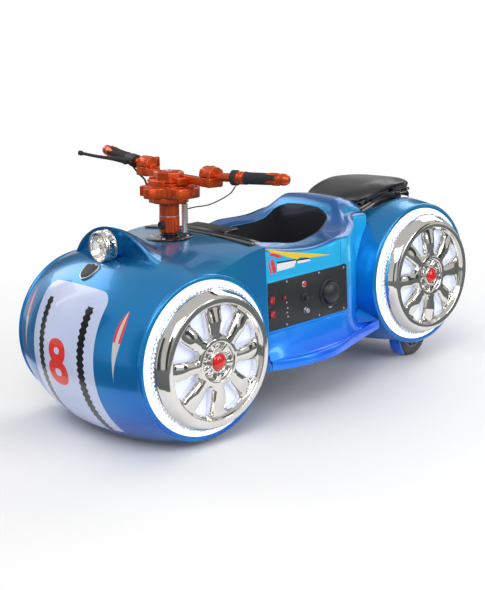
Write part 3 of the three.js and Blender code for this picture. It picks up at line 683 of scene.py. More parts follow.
def makeGlow(name, color, strength, spots=0, axle=None):
    # A frosted diffuser that is lit from inside, with the lamps showing as brighter spots.
    finish = makeFinish(name, color, color, 0.35, 0, 0.0, 40, 0.1, 0.05)
    tree, shader, calc = partsOf(finish)
    shader.inputs['Emission Color'].default_value = (*color, 1)
    shader.inputs['Emission Strength'].default_value = strength
    if spots:
        x, y, z = objectPlace(tree)
        along, up = calc('SUBTRACT', y, axle[0]), calc('SUBTRACT', z, axle[1])
        turns = calc('MULTIPLY', calc('ARCTAN2', up, along), float(spots))
        wave = calc('MULTIPLY_ADD', calc('COSINE', turns), 0.5, 0.5)
        radius = calc('SQRT', calc('ADD', calc('MULTIPLY', along, along), calc('MULTIPLY', up, up)))
        inner = clamped(calc, calc('DIVIDE', calc('SUBTRACT', glow["edge"], radius), glow["fade"]))
        share = calc('MULTIPLY', calc('MULTIPLY', inner, wave), glow["share"])
        tone = blendIn(tree, share, color, glow["spotTone"])
        for label in ('Emission Color', 'Base Color'):
            tree.links.new(tone, shader.inputs[label])
    return finish


def makeGlass(name):
    finish = makeFinish(name, (0.95, 0.97, 0.98), (0.95, 0.97, 0.98), 0.03, 0, 0.0, 10, 0.1, 0.02)
    tree, shader, calc = partsOf(finish)
    tree.links.remove(shader.inputs['Base Color'].links[0])
    for label, value in (('Base Color', (0.97, 0.98, 0.99, 1)), ('Transmission Weight', 1.0), ('IOR', 1.45)):
        shader.inputs[label].default_value = value
    return finish


def makeWeave(name, color, shade, pitch):
    # Black seat cover with a small twill pattern, laid along the cover's own UV map in metres.
    finish = makeFinish(name, color, shade, 0.38, 0, 0.15, 60, 0.4, 0.08)
    tree, shader, calc = partsOf(finish)
    place, parts = tree.nodes.new('ShaderNodeUVMap'), tree.nodes.new('ShaderNodeSeparateXYZ')
    tree.links.new(place.outputs[0], parts.inputs[0])
    threads = [calc('PINGPONG', calc(way, parts.outputs[0], parts.outputs[1]), pitch)
               for way in ('ADD', 'SUBTRACT')]
    weave = calc('DIVIDE', calc('MULTIPLY', *threads), pitch * pitch)
    tree.links.new(blendIn(tree, weave, shade, color), shader.inputs['Base Color'])
    reliefIn(tree, weave, 0.6, 0.5)
    return finish


# Each finish: tone, second tone, roughness, metallic, coat, grain scale, amount and spread,
# and where needed bump, wear and worn tone.
finishValues = {
    "brightChrome": ((0.84, 0.82, 0.78), (0.70, 0.68, 0.63), 0.07, 1.0, 0, 9, 0.6, 0.04),
    "satinSilver": ((0.60, 0.61, 0.63), (0.50, 0.51, 0.53), 0.34, 1.0, 0, 14, 0.6, 0.08),
    "orangeAnodised": ((0.68, 0.085, 0.012), (0.52, 0.050, 0.008), 0.34, 0.75, 0.30, 26, 0.5, 0.06, 0.0, 0.25,
                       (0.80, 0.20, 0.05)),
    "blackGloss": ((0.008, 0.008, 0.010), (0.014, 0.014, 0.016), 0.16, 0, 0.6, 12, 0.5, 0.05),
    "tubGloss": ((0.022, 0.023, 0.028), (0.030, 0.031, 0.036), 0.22, 0, 1.0, 12, 0.5, 0.05),
    "blackMatt": ((0.016, 0.016, 0.018), (0.026, 0.026, 0.028), 0.55, 0, 0, 60, 0.6, 0.15, 0.25),
    "softRubber": ((0.018, 0.018, 0.019), (0.030, 0.030, 0.031), 0.72, 0, 0, 70, 0.6, 0.1, 0.3),
    "panelBlack": ((0.012, 0.013, 0.016), (0.020, 0.021, 0.024), 0.40, 0, 0.1, 45, 0.6, 0.12, 0.2),
    "framePaint": ((0.022, 0.023, 0.026), (0.034, 0.035, 0.038), 0.45, 0.2, 0.2, 20, 0.6, 0.15, 0.2, 0.4,
                   (0.20, 0.20, 0.20)),
    "greyTyre": ((0.060, 0.061, 0.064), (0.095, 0.095, 0.097), 0.78, 0, 0, 30, 0.7, 0.12, 0.4),
    "wheelGrey": ((0.16, 0.17, 0.18), (0.11, 0.115, 0.12), 0.5, 0.1, 0, 20, 0.6, 0.1),
    "redGloss": ((0.62, 0.006, 0.008), (0.45, 0.003, 0.005), 0.14, 0, 0.8, 20, 0.5, 0.05),
    "redRocker": ((0.38, 0.004, 0.010), (0.25, 0.003, 0.006), 0.30, 0, 0.3, 40, 0.5, 0.08),
    "yellowDecal": ((0.76, 0.55, 0.015), (0.68, 0.45, 0.012), 0.32, 0, 0.4, 20, 0.4, 0.05),
    "redDecal": ((0.72, 0.025, 0.02), (0.6, 0.015, 0.012), 0.32, 0, 0.4, 20, 0.4, 0.05),
    "whiteDecal": ((0.72, 0.74, 0.78), (0.62, 0.65, 0.70), 0.32, 0, 0.4, 20, 0.4, 0.05)}
(chromeFinish, satinFinish, orangeFinish, blackGloss, tubGloss, blackMatt, rubberFinish, panelFinish,
 frameFinish, tyreFinish, hubGrey, redGloss, redDark, yellowDecal, redDecal, whiteDecal) = (
    makeFinish(name, *values) for name, values in finishValues.items())
seatFinish = makeWeave("seatWeave", (0.040, 0.039, 0.040), (0.006, 0.006, 0.007), 0.0035)
lensFinish = makeGlass("clearLens")
bluePaintWithPaintedLight = makePaintWithPaintedLight("bluePaintWithPaintedLight", blueTonesWithPaintedLight)
# The brighter side copy of the paint is painted light.
litSidePaintCopy = makePaintWithPaintedLight("litSidePaintCopy", litSideTonesWithPaintedLight)
print("finishes ready")


# Where the CAD model has its main parts.
def middleOf(node):
    low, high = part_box(node)
    return (low + high) / 2 / mm


frontAxle, rearAxle = middleOf("front_left_wheel_cover"), middleOf("rear_left_wheel_cover")
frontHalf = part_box("front_left_light_plate")[0].x / mm - 0.3
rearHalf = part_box("rear_left_light_plate")[0].x / mm - 0.3
plateDepth, coverGap = 5, 0.3

placeCamera()
buildStudio()
buildFloor()
buildCards()
nosePaintWithPaintedLight = makeNosePaintWithPaintedLight(frontAxle.y * mm, frontAxle.z * mm)
print("studio ready")


# Nose and hood.
noseShape = {"crown": 320, "side": 256, "bow": 2.2, "floor": 24, "wall": 6, "bevel": 14, "sweep": 245,
             "hoodRear": -258.5, "hoodTop": 600, "hoodFall": 18, "hoodHalf": 325, "hoodBottom": 165,
             "turnSteps": 168, "hoodSteps": 26, "acrossSteps": 64, "sideSteps": 12, "sideDepth": 80,
             "shelfHalf": 232, "shelfFront": -740, "shelfBack": -560, "shelfFrom": 500, "shelfRear": -601,
             "shelfHeight": 578, "shelfSlope": 0.17, "shelfBlend": 5}


def barrelAt(x, half, crown, side, bow):
    return side + (crown - side) * (1 - min(abs(x / half), 1) ** bow)


def hoodHeight(part, ease):
    # Height of the hood at a part of its half width, from the axle (ease 0) to the hood's rear (ease 1).
    n = noseShape
    x = part * mix(frontHalf, n["hoodHalf"], ease)
    front = frontAxle.z + barrelAt(part * frontHalf, frontHalf, n["crown"], n["side"], n["bow"])
    return mix(front, n["hoodTop"] - n["hoodFall"] * (x / n["hoodHalf"]) ** 2, ease)


def noseHeight(x, y):
    # Height of the undented nose and hood over a place.
    n = noseShape
    if y < frontAxle.y:
        radius = barrelAt(x, frontHalf, n["crown"], n["side"], n["bow"])
        return frontAxle.z + math.sqrt(max(radius ** 2 - (y - frontAxle.y) ** 2, 0))
    ease = smooth((y - frontAxle.y) / (n["hoodRear"] - frontAxle.y))
    return hoodHeight(x / mix(frontHalf, n["hoodHalf"], ease), ease)


def shelfLimit(x, y, z):
    # The nearly flat shelf under the lamp, let into the nose with a soft edge.
    n = noseShape
    if abs(x) > n["shelfHalf"] or not n["shelfFront"] < y < n["shelfBack"] or z < n["shelfFrom"]:
        return z
    shelf = n["shelfHeight"] - (n["shelfRear"] - y) * n["shelfSlope"]
    excess = z - shelf
    soft = n["shelfBlend"]
    if excess < -soft:
        return z
    return shelf if excess > soft else z - (excess + soft) ** 2 / (4 * soft)


def barrelColumn(column, across, sideRows):
    # Place across a barrel from -1 to 1, and the part of the way down its end wall.
    part = (min(max(column - sideRows, 0), across) / across) * 2 - 1
    return part, max(sideRows - column, column - sideRows - across, 0) / sideRows


def buildNose():
    n = noseShape
    half, axle = frontHalf, frontAxle
    turnRows, across, sideRows = n["turnSteps"], n["acrossSteps"], n["sideSteps"]
    total, columns = turnRows + n["hoodSteps"], across + 2 * sideRows
    sweep = math.radians(n["sweep"])

    def place(u, v):
        row = round(v * total)
        part, down = barrelColumn(round(u * columns), across, sideRows)
        if row <= turnRows:
            angle = pi / 2 + sweep * (1 - row / turnRows)
            x = part * half
            radius = barrelAt(x, half, n["crown"], n["side"], n["bow"]) - down * n["sideDepth"]
            y, z = axle.y + radius * math.cos(angle), axle.z + radius * math.sin(angle)
            if z < n["floor"]:
                reach = math.sqrt(max(radius ** 2 - (axle.z - n["floor"]) ** 2, 0))
                y, z = axle.y + math.copysign(reach, y - axle.y), n["floor"]
            return x, y, shelfLimit(x, y, z)
        t = (row - turnRows) / n["hoodSteps"]
        ease = smooth(t)
        z = hoodHeight(part, ease)
        if down:
            z = mix(z, mix(axle.z + n["side"] - n["sideDepth"], n["hoodBottom"], ease), down)
        return part * mix(half, n["hoodHalf"], ease), mix(axle.y, n["hoodRear"], t), z

    def onFloor(centre):
        return centre.z < n["floor"] + 0.2

    nose = sheetOf("noseAndHood", columns, total, place, 40)
    drop(nose, onFloor)
    return cleanMesh(walled(nose, n["wall"], n["bevel"], 5, 48), 40)


lipShape = {"radius": 259, "steps": 128}


def lipRing(name, half, axle, side):
    # The raised fender lip round a light ring.
    radius = lipShape["radius"]
    profile = rounded([(radius - 100, half - 2), (radius - 13, half - 2), (radius - 12, half + 4.4),
                       (radius + 1, half + 4.4), (radius + 6, half - 6), (radius - 4, half - 14)],
                      [0, 2, 3, 8, 8, 0], 4)
    ring = lathe(name, profile, (0, axle.y, axle.z), 'X', lipShape["steps"], 50)
    return ring if side > 0 else mirrorInto(ring)


settle(buildNose(), "body", "blue_body", nosePaintWithPaintedLight, "front_fairing")
for side, word in ((1, "Left"), (-1, "Right")):
    settle(lipRing("noseLip" + word, frontHalf, frontAxle, side), "body", "blue_body", bluePaintWithPaintedLight)
print("nose ready")


# Wheel covers and light rings.
coverShape = {"rim": 225, "face": 200, "lip": 181, "depth": 56, "windowCount": 8, "bladeInner": 66,
              "bladeOuter": 178, "bladeTop": 47, "bladeSink": 9, "bladeSteps": 44, "waistInner": 84,
              "waistOuter": 168, "waistWide": 15.5, "waistNarrow": 11.8, "backing": 17, "hub": 76, "dome": 27,
              "domeRise": 14, "lugCount": 5, "teeth": 96, "toothDepth": 2.2, "toothLow": 3, "toothHigh": 16}
ringShape = {"outer": 246, "inner": 205, "spots": 48}


def bladeHalfAngle(radius):
    # Half the angle that a blade fills at this radius, in degrees; windows lie between blades.
    c = coverShape
    full = 180 / c["windowCount"]
    innerEdge, outerEdge = c["waistInner"], c["waistOuter"]
    waist = mix(c["waistWide"], c["waistNarrow"], (radius - innerEdge) / (outerEdge - innerEdge))
    if radius < innerEdge + 10:
        return mix(full + 0.6, waist, smooth((radius - innerEdge + 12) / 20))
    if radius > outerEdge - 14:
        t = min(max((radius - (outerEdge - 14)) / 18, 0), 1)
        return mix(waist, full + 0.6, 1 - math.sqrt(max(1 - t ** 2.6, 0)))
    return waist


def buildBlades():
    c = coverShape
    flank = [(1, -28), (0.99, -20), (0.90, -9), (0.82, -2.5), (0.75, 0.4), (0.62, 1.8), (0.35, 3.6)]
    profile = [(-part, rise) for part, rise in flank] + [(0, 4.4)] + flank[::-1]

    def place(u, v):
        radius = mix(c["bladeInner"], c["bladeOuter"], v)
        part, rise = profile[round(u * (len(profile) - 1))]
        sink = c["bladeSink"] * smooth((radius - 120) / 60)
        angle = math.radians(bladeHalfAngle(radius) * part)
        return c["bladeTop"] + rise - sink, radius * math.sin(angle), radius * math.cos(angle)
    blade = sheetOf("blade", len(profile) - 1, c["bladeSteps"], place, 50)
    return [copyTurned(blade, f"blade{k}", turned(360 * k / c["windowCount"], 'X'))
            for k in range(1, c["windowCount"])] + [blade]


def toothed(angle, radius, along):
    c = coverShape
    if not c["toothLow"] < along < c["toothHigh"]:
        return 0
    return c["toothDepth"] * (1 if math.cos(angle * c["teeth"]) > 0 else -0.6)


def buildCover():
    c = coverShape
    depth = c["depth"]
    rim = rounded([(c["rim"] - 22, 0), (c["rim"] - 1, 0), (c["rim"] - 1, 3.5), (c["rim"] - 1, 15.5),
                   (c["rim"] - 4, 18), (c["rim"] - 5, 26), (c["rim"] - 16, 47), (c["face"] + 1, depth - 1),
                   (c["face"] - 2, depth), (c["lip"] + 2, depth), (c["lip"], depth - 2),
                   (c["lip"] - 3, depth - 9), (c["lip"] - 7, depth - 14), (c["lip"] - 8, 16),
                   (c["lip"] - 6, 12)],
                  [0, 1, 0.5, 0.5, 1.5, 4, 6, 2, 1.5, 1.5, 2, 3, 3, 2, 0], 3)
    pieces = [lathe("rim", rim, steps=384, smoothAngle=32, wobble=toothed)]
    pieces += buildBlades()
    hub = rounded([(c["hub"] + 8, 38), (c["hub"] + 2, 47), (c["hub"] - 2, 51), (c["hub"] - 12, 51.5),
                   (c["hub"] - 15, 49), (c["hub"] - 17, 40), (c["dome"] + 9, 37), (c["dome"] + 7, 50),
                   (c["dome"] + 3, 53), (c["dome"], 51), (c["dome"] - 1, 46), (0, 46)],
                  [0, 3, 2, 2, 2, 4, 4, 2, 2, 1, 1, 0], 3)
    pieces.append(lathe("hubRing", hub, steps=96, smoothAngle=40))
    nutProfile = rounded([(0, 45), (5.5, 45), (7, 43.5), (7, 38)], [0, 1, 1, 0], 2)
    for k in range(c["lugCount"]):
        rib = block("lugRib", (36, -8, c["dome"] + 4), (48.5, 8, c["hub"] - 14), 3, 2)
        rib.data.transform(turned(360 * (k + 0.5) / c["lugCount"], 'X'))
        nut = lathe("lugNut", nutProfile, steps=12, smoothAngle=30)
        nut.data.transform(turned(360 * k / c["lugCount"], 'X') @ shifted(0, 0, 47))
        pieces += [rib, nut]
    return joined("wheelCover", pieces)


def buildDome():
    radius, rise = coverShape["dome"], coverShape["domeRise"]
    profile = [(radius * math.cos(t * pi / 20), 48 + rise * math.sin(t * pi / 20)) for t in range(11)]
    return lathe("capDome", [(radius, 44)] + profile, steps=48, smoothAngle=60)


def buildRing():
    r = ringShape
    profile = rounded([(r["inner"], 0.3), (r["outer"] - 0.5, 0.3), (r["outer"] - 0.5, 3), (r["outer"] - 5, 5),
                       (r["inner"] + 12, 5), (r["inner"], 5)], [0, 0.5, 2, 3, 0.5, 0], 4)
    return lathe("lightRing", profile, steps=160, smoothAngle=50)


def buildBacking():
    depth = coverShape["backing"]
    radius = coverShape["lip"] - 5
    profile = rounded([(0, depth), (radius - 4, depth), (radius, depth - 4), (radius, 6)], [0, 2, 3, 0], 3)
    return lathe("windowBacking", profile, steps=96, smoothAngle=50)


coverMaster, domeMaster, ringMaster, backingMaster = buildCover(), buildDome(), buildRing(), buildBacking()
for end, half, axle in (("front", frontHalf, frontAxle), ("rear", rearHalf, rearAxle)):
    centre = (axle.y * mm, axle.z * mm)
    ringGlow = makeGlow(end + "RingGlow", (0.88, 0.92, 1.0), 0.84, ringShape["spots"], centre)
    backGlow = makeGlow(end + "BackGlow", (0.66, 0.72, 0.92), 0.42)
    for word, side in (("left", 1), ("right", -1)):
        turn = turned(0 if side > 0 else 180, 'Z')
        plateAt = shifted(side * half, axle.y, axle.z) @ turn
        coverAt = shifted(side * (half + coverGap + plateDepth), axle.y, axle.z) @ turn
        node = f"{end}_{word}"
        for master, label, place, slot, finish, nodes in (
                (ringMaster, "LightRing", plateAt, "light_ring", ringGlow, [node + "_light_plate"]),
                (backingMaster, "WindowBacking", coverAt, "light_ring", backGlow, []),
                (coverMaster, "WheelCover", coverAt, "chrome_trim", chromeFinish, [node + "_wheel_cover"]),
                (domeMaster, "CapDome", coverAt, "chrome_trim", redGloss, [])):
            settle(copyTurned(master, f"{end}{label}_{word}", place), "body", slot, finish, *nodes)
for master in (coverMaster, domeMaster, ringMaster, backingMaster):
    bpy.data.objects.remove(master)
print("wheel covers ready")


# Rear barrel.
rearShape = {"crown": 288, "side": 262, "bow": 2.2, "floor": 88, "recessHalf": 172,
             "recessRear": 718, "recessFloor": 590, "recessEdge": 10, "turnSteps": 150, "acrossSteps": 56,
             "sideSteps": 10, "sideDepth": 80, "wall": 6, "bevel": 9}


def recessLimit(x, y, z):
    # The flat recess in the top that takes the seat, with a soft step along its sides and rear.
    r = rearShape
    inward = min(r["recessHalf"] - abs(x), r["recessRear"] - y)
    if inward <= 0 or z < r["recessFloor"]:
        return z
    return mix(z, r["recessFloor"], smooth(inward / r["recessEdge"]))


def buildRearBarrel():
    r = rearShape
    half, axle = rearHalf, rearAxle
    sideRows, across = r["sideSteps"], r["acrossSteps"]
    columns = across + 2 * sideRows
    dip = math.asin((axle.z - r["floor"]) / r["crown"])

    def place(u, v):
        part, down = barrelColumn(round(u * columns), across, sideRows)
        angle = mix(-dip, pi + dip, v)
        x = part * half
        radius = barrelAt(x, half, r["crown"], r["side"], r["bow"]) - down * r["sideDepth"]
        y, z = axle.y - radius * math.cos(angle), axle.z + radius * math.sin(angle)
        return x, y, recessLimit(x, y, z)

    barrel = sheetOf("rearBarrel", columns, r["turnSteps"], place, 40)
    return cleanMesh(walled(barrel, r["wall"], r["bevel"], 4, 48), 40)


settle(buildRearBarrel(), "body", "blue_body", bluePaintWithPaintedLight, "rear_fairing")
for side, word in ((1, "Left"), (-1, "Right")):
    settle(lipRing("rearLip" + word, rearHalf, rearAxle, side), "body", "blue_body", bluePaintWithPaintedLight)
print("rear barrel ready")


# Middle body with the cockpit.
# Each row: place along the body, crown, rim half width, rim, crease half width, crease, side half width.
bodyRows = [(-258.5, 600, 258, 588, 321, 574, 321), (-231.5, 599, 258, 586, 320, 571, 320.5),
            (-158.5, 590, 250, 573, 319, 557, 320), (-36.5, 575, 225, 550, 318, 544, 320),
            (30, 575, 207, 547, 318, 548, 320), (89.5, 575, 188, 550, 314, 558, 320),
            (125, 578, 176, 553, 300, 560, 314), (158.5, 582, 164, 558, 284, 562, 303),
            (190, 590, 153, 570, 260, 568, 284), (216.5, 604, 144, 591, 238, 578, 266),
            (234, 622, 136, 610, 222, 586, 254), (247, 640, 132, 630, 207, 592, 243),
            (262, 650, 130, 642, 196, 596, 228), (300, 653, 128, 646, 188, 598, 203),
            (340, 645, 124, 637, 180, 594, 192), (378, 628, 118, 620, 172, 590, 185)]
cockpit = {"front": -231.5, "rear": 236, "roundFrom": 205, "roundPower": 3.2, "floor": 354, "corner": 42,
           "panelFront": -251.5, "panelRear": 122.5, "panelBottom": 298, "panelTop": 460, "bottom": 165,
           "foot": 14, "wall": 6, "bevel": 2.6, "tubSteps": 72, "tubWall": 3, "tubGap": 6, "tubPart": 0.42,
           "cornerFrom": 0.6, "returnLength": 60}


def between(rows, place):
    # Values of a table at a place, joined smoothly.
    place = min(max(place, rows[0][0]), rows[-1][0])
    k = max(i for i in range(len(rows) - 1) if rows[i][0] <= place)
    start, end = rows[k], rows[k + 1]
    length = end[0] - start[0]
    t = (place - start[0]) / length

    def slope(i, column):
        if i in (0, len(rows) - 1):
            i = min(max(i, 1), len(rows) - 1)
            return (rows[i][column] - rows[i - 1][column]) / (rows[i][0] - rows[i - 1][0])
        before = (rows[i][column] - rows[i - 1][column]) / (rows[i][0] - rows[i - 1][0])
        after = (rows[i + 1][column] - rows[i][column]) / (rows[i + 1][0] - rows[i][0])
        return (before + after) / 2

    values = []
    for column in range(1, len(start)):
        a, b = start[column], end[column]
        first, last = slope(k, column) * length, slope(k + 1, column) * length
        values.append(a * (2 * t ** 3 - 3 * t ** 2 + 1) + b * (3 * t ** 2 - 2 * t ** 3)
                      + first * (t ** 3 - 2 * t ** 2 + t) + last * (t ** 3 - t ** 2))
    return values


def openingHalf(y):
    # Half width of the cockpit's opening, rounded off at its rear end.
    c = cockpit
    rimX = between(bodyRows, y)[1]
    if y <= c["roundFrom"]:
        return rimX
    t = min((y - c["roundFrom"]) / (c["rear"] - c["roundFrom"]), 1)
    return rimX * (1 - t ** c["roundPower"]) ** (1 / c["roundPower"])


def shellHeight(x, y):
    # Height of the shoulder or of the crown at a half width.
    crown, rimX, rim, creaseX, crease, sideX = between(bodyRows, y)
    if x > rimX:
        foot = creaseX - cockpit["foot"]
        t = (foot - x) / (foot - rimX)
        return mix(crease, rim, t) - mix(22, -30, smooth((y - 120) / 110)) * t * (1 - t)
    return mix(crown, rim, (x / rimX) ** 2)


def edgeHalf(y):
    # The opening's edge, and behind the opening a smooth return to the rim.
    last = cockpit["rear"] - 2
    if y <= last:
        return openingHalf(y)
    return mix(openingHalf(last), between(bodyRows, y)[1], smooth((y - last) / cockpit["returnLength"]))


def bodyProfile(y):
    # Half of a cross-section, from the bottom edge up the side and in to the centre line.
    crown, rimX, rim, creaseX, crease, sideX = between(bodyRows, y)
    c, edge = cockpit, edgeHalf(y)
    side = [(sideX, z) for z in (c["bottom"], 230, c["panelBottom"], 338, 379, 420, c["panelTop"],
                                 mix(c["panelTop"], crease - 20, 0.5), crease - 20)]
    corner, foot = Vector((mix(creaseX, sideX, 0.75), crease)), Vector((creaseX - c["foot"], crease))
    turn = [Vector(side[-1]) * (1 - t) ** 2 + corner * 2 * t * (1 - t) + foot * t * t
            for t in (0.25, 0.5, 0.75, 1)]
    across = [mix(foot.x, edge, t) for t in (0.12, 0.26, 0.42, 0.58, 0.74, 0.88, 1)]
    across += [edge * (1 - t) for t in (0.15, 0.3, 0.45, 0.6, 0.75, 0.9, 1)]
    return side + [tuple(p) for p in turn] + [(x, shellHeight(x, y)) for x in across]


def buildMidBody():
    c = cockpit
    marks = [row[0] for row in bodyRows] + [c["panelFront"], c["panelRear"]]
    steps = [-245 + 12 * k for k in range(37)] + [205 + 5 * k for k in range(20)]
    steps += [310 + 11 * k for k in range(6)]
    places = sorted(marks + [y for y in steps if min(abs(y - mark) for mark in marks) > 2.5])
    half = len(bodyProfile(0)) - 1
    profiles = [bodyProfile(y) for y in places]

    def place(u, v):
        column, row = round(u * 2 * half), round(v * (len(places) - 1))
        x, z = profiles[row][min(column, 2 * half - column)]
        return (x if column <= half else -x), places[row], z

    body = sheetOf("midBody", 2 * half, len(places) - 1, place, 32)

    def isOpen(centre):
        x, y, z = abs(centre.x), centre.y, centre.z
        hole = c["front"] < y < c["rear"] and z > 500 and x < openingHalf(y) - 0.5
        panelHole = c["panelFront"] < y < c["panelRear"] and c["panelBottom"] < z < c["panelTop"]
        return hole or panelHole

    drop(body, isOpen)
    walled(body, c["wall"], c["bevel"], 3, 60)
    for side in (1, -1):
        carve(body, block("groove", (side * 320 - 4, 92, 466), (side * 320 + 4, 97, 552), 1, 1))
    return cleanMesh(body, 32)


def reachOut(angle, middle):
    # Distance from the middle of the opening to its edge in a direction.
    low, high = 0.0, 400.0
    c = cockpit
    for step in range(26):
        reach = (low + high) / 2
        x, y = reach * math.cos(angle), middle + reach * math.sin(angle)
        if c["front"] < y < c["rear"] and abs(x) < openingHalf(y):
            low = reach
        else:
            high = reach
    return low


def buildTub():
    # Squares round the middle of a grid become rings: the outer ones the wall, the inner ones the floor.
    c = cockpit
    middle, corner, cornerFrom = (c["front"] + c["rear"]) / 2, c["corner"], c["cornerFrom"]
    edges = {}

    def place(u, v):
        across, along = 2 * u - 1, 2 * v - 1
        r = max(abs(across), abs(along))
        if r < 1e-6:
            return 0, middle, c["floor"]
        key = (round(across / r, 4), round(along / r, 4))
        if key not in edges:
            angle = math.atan2(along / r, across / r)
            edges[key] = (angle, reachOut(angle, middle))
        angle, edge = edges[key]
        rim = shellHeight(abs(edge * math.cos(angle)), middle + edge * math.sin(angle)) - 1.5
        t = (1 - r) / c["tubPart"]
        if t >= 1:
            reach, z = (edge - c["tubGap"] - corner) * (r / (1 - c["tubPart"])), c["floor"]
        elif t > cornerFrom:
            turn = (t - cornerFrom) / (1 - cornerFrom) * pi / 2
            reach = edge - c["tubGap"] - corner * (1 - math.cos(turn))
            z = c["floor"] + corner * (1 - math.sin(turn))
        else:
            reach = edge - 1 - (c["tubGap"] - 1) * smooth(t / cornerFrom)
            z = mix(rim, c["floor"] + corner, t / cornerFrom)
        return reach * math.cos(angle), middle + reach * math.sin(angle), z
    tub = sheetOf("cockpitLiner", c["tubSteps"], c["tubSteps"], place, 50)
    modify(tub, 'SOLIDIFY', thickness=c["tubWall"] * mm, offset=-1)
    return cleanMesh(tub, 50)


settle(buildMidBody(), "body", "blue_body", litSidePaintCopy, "mid_body")
settle(buildTub(), "body", "black_gloss", tubGloss, "cockpit_tub")
print("middle body ready")


# Control panels and side marks.
panelShape = {"face": 320, "front": -251.2, "rear": 122.2, "bottom": 298.3, "top": 459.7,
              "speakerY": 36.5, "speakerZ": 376, "speakerRadius": 50, "speakerDepth": 23.5}
# Turns a plate drawn in X and Y so that X runs along the body, Y runs up and its top faces outwards.
outward = Matrix(((0, 0, 1, 0), (1, 0, 0, 0), (0, 1, 0, 0), (0, 0, 0, 1)))


def plateOnSide(name, outline, low, high, bevel=1.0):
    plate = slab(name, outline, low, high, bevel)
    plate.data.transform(outward)
    return plate


def buildPanel():
    p = panelShape
    front, rear, bottom, top = (p[key] for key in ("front", "rear", "bottom", "top"))
    outline = rounded([(front, bottom), (rear, bottom), (rear, top), (front, top)], 6, 3, True)
    plate = plateOnSide("panelPlate", outline, p["face"] - 4, p["face"] - 0.2, 1.2)
    radius, depth, face = p["speakerRadius"], p["speakerDepth"], p["face"]
    profile = rounded([(radius - 12, face - 1), (radius - 0.5, face - 1), (radius - 0.5, face + 3),
                       (radius - 6, face + 4), (radius - 11, face + 2), (radius - 12, face + 5)],
                      [0, 1, 2, 2, 1, 0], 2)
    profile += [((radius - 12) * math.cos(t * pi / 24), face + 5 + (depth - 5) * math.sin(t * pi / 24))
                for t in range(1, 13)]
    speaker = lathe("speaker", profile, (0, p["speakerY"], p["speakerZ"]), steps=72, smoothAngle=40)
    return joined("controlPanel_left", [plate, speaker])


def knobAt(name, y, z, parts, sides=32):
    face = panelShape["face"]
    return lathe(name, rounded([(r, face + d) for r, d in parts], [0] + [0.6] * (len(parts) - 2) + [0], 2),
                 (0, y, z), 'X', sides, 35)


def buildScrews():
    spots = [(-164.5, 451), (-13.5, 453), (106.5, 450), (-170.5, 307), (-18.5, 307), (102.5, 307)]
    head = [(3.8, -1), (3.8, 0.6), (3.0, 1.6), (1.6, 1.8), (1.3, 0.9), (0, 0.9)]
    return joined("panelScrews_left", [knobAt(f"screw{k}", y, z, head, 20) for k, (y, z) in enumerate(spots)])


# Each rocker switch: place along the body, height, width and height of its frame.
rockers = [(-236, 402.5, 25, 30), (-236, 355.5, 25, 30), (-179, 400, 15, 17)]
rockerLean = 9


def buildRockers():
    bezels, keys = [], []
    face = panelShape["face"]
    for k, (y, z, width, height) in enumerate(rockers):
        bezels.append(block(f"bezel{k}", (face - 1, y - width / 2, z - height / 2),
                            (face + 2.2, y + width / 2, z + height / 2), 1.2, 2))
        for part in (1, -1):
            key = block(f"key{k}{part}", (0, -width / 2 + 3, 0), (4, width / 2 - 3, height / 2 - 2.5), 0.8, 2)
            flip = Matrix.Scale(part, 4, (0, 0, 1))
            key.data.transform(shifted(face + 1.2, y, z) @ flip @ turned(rockerLean, 'Y'))
            if part < 0:
                key.data.flip_normals()
            keys.append(key)
    return joined("rockerBezels", bezels), joined("rockerKeys", keys)


panelLeft, screwsLeft = buildPanel(), buildScrews()
panelRight, screwsRight = mirrorX(panelLeft, "controlPanel_right"), mirrorX(screwsLeft, "panelScrews_right")
settle(panelLeft, "body", "panel_black", panelFinish, "control_panel_left")
settle(panelRight, "body", "panel_black", panelFinish, "control_panel_right")
settle(screwsLeft, "body", "silver_metal", satinFinish)
settle(screwsRight, "body", "silver_metal", satinFinish)
rockerBezels, rockerKeys = buildRockers()
settle(rockerBezels, "body", "black_matt", blackMatt)
settle(rockerKeys, "body", "panel_black", redDark)
# Round parts of the panel: name, place along the body, height, sides, slot, finish and profile.
knobs = [("resetRing", -86.5, 428, 32, "silver_metal", satinFinish,
          [(7, -1), (11, -1), (11, 2.5), (8.5, 4), (7.4, 3.6)]),
         ("resetButton", -86.5, 428, 32, "panel_black", redGloss, [(7.2, 0), (7.2, 5), (5.5, 7), (0, 7.6)]),
         ("socketCap", -84, 381, 32, "black_matt", blackMatt,
          [(17, -1), (17, 3), (14, 5), (9, 5), (9, 15), (7, 17), (0, 17)]),
         ("volumeKnob", -81.5, 337, 24, "silver_metal", satinFinish,
          [(10.5, -1), (10.5, 2), (8.5, 3), (8.5, 11), (7, 12.5), (0, 12.5)])]
for name, y, z, sides, slot, finish, profile in knobs:
    settle(knobAt(name, y, z, profile, sides), "body", slot, finish)
settle(block("socketTab", (320, -70, 377), (331, -54, 385), 1.5), "body", "black_matt", blackMatt)
dots = [knobAt(f"dot{k}", -168 + 3 * (k % 2), z, [(3.4, -1), (3.4, 1.5), (2, 2.4), (0, 2.4)], 18)
        for k, z in enumerate((381, 362, 347, 333))]
settle(joined("statusDots", dots), "body", "silver_metal", satinFinish)
settle(block("keyPlate", (319.5, 26, 322), (322.5, 44, 329), 1.2), "body", "silver_metal", satinFinish)
print("control panels ready")

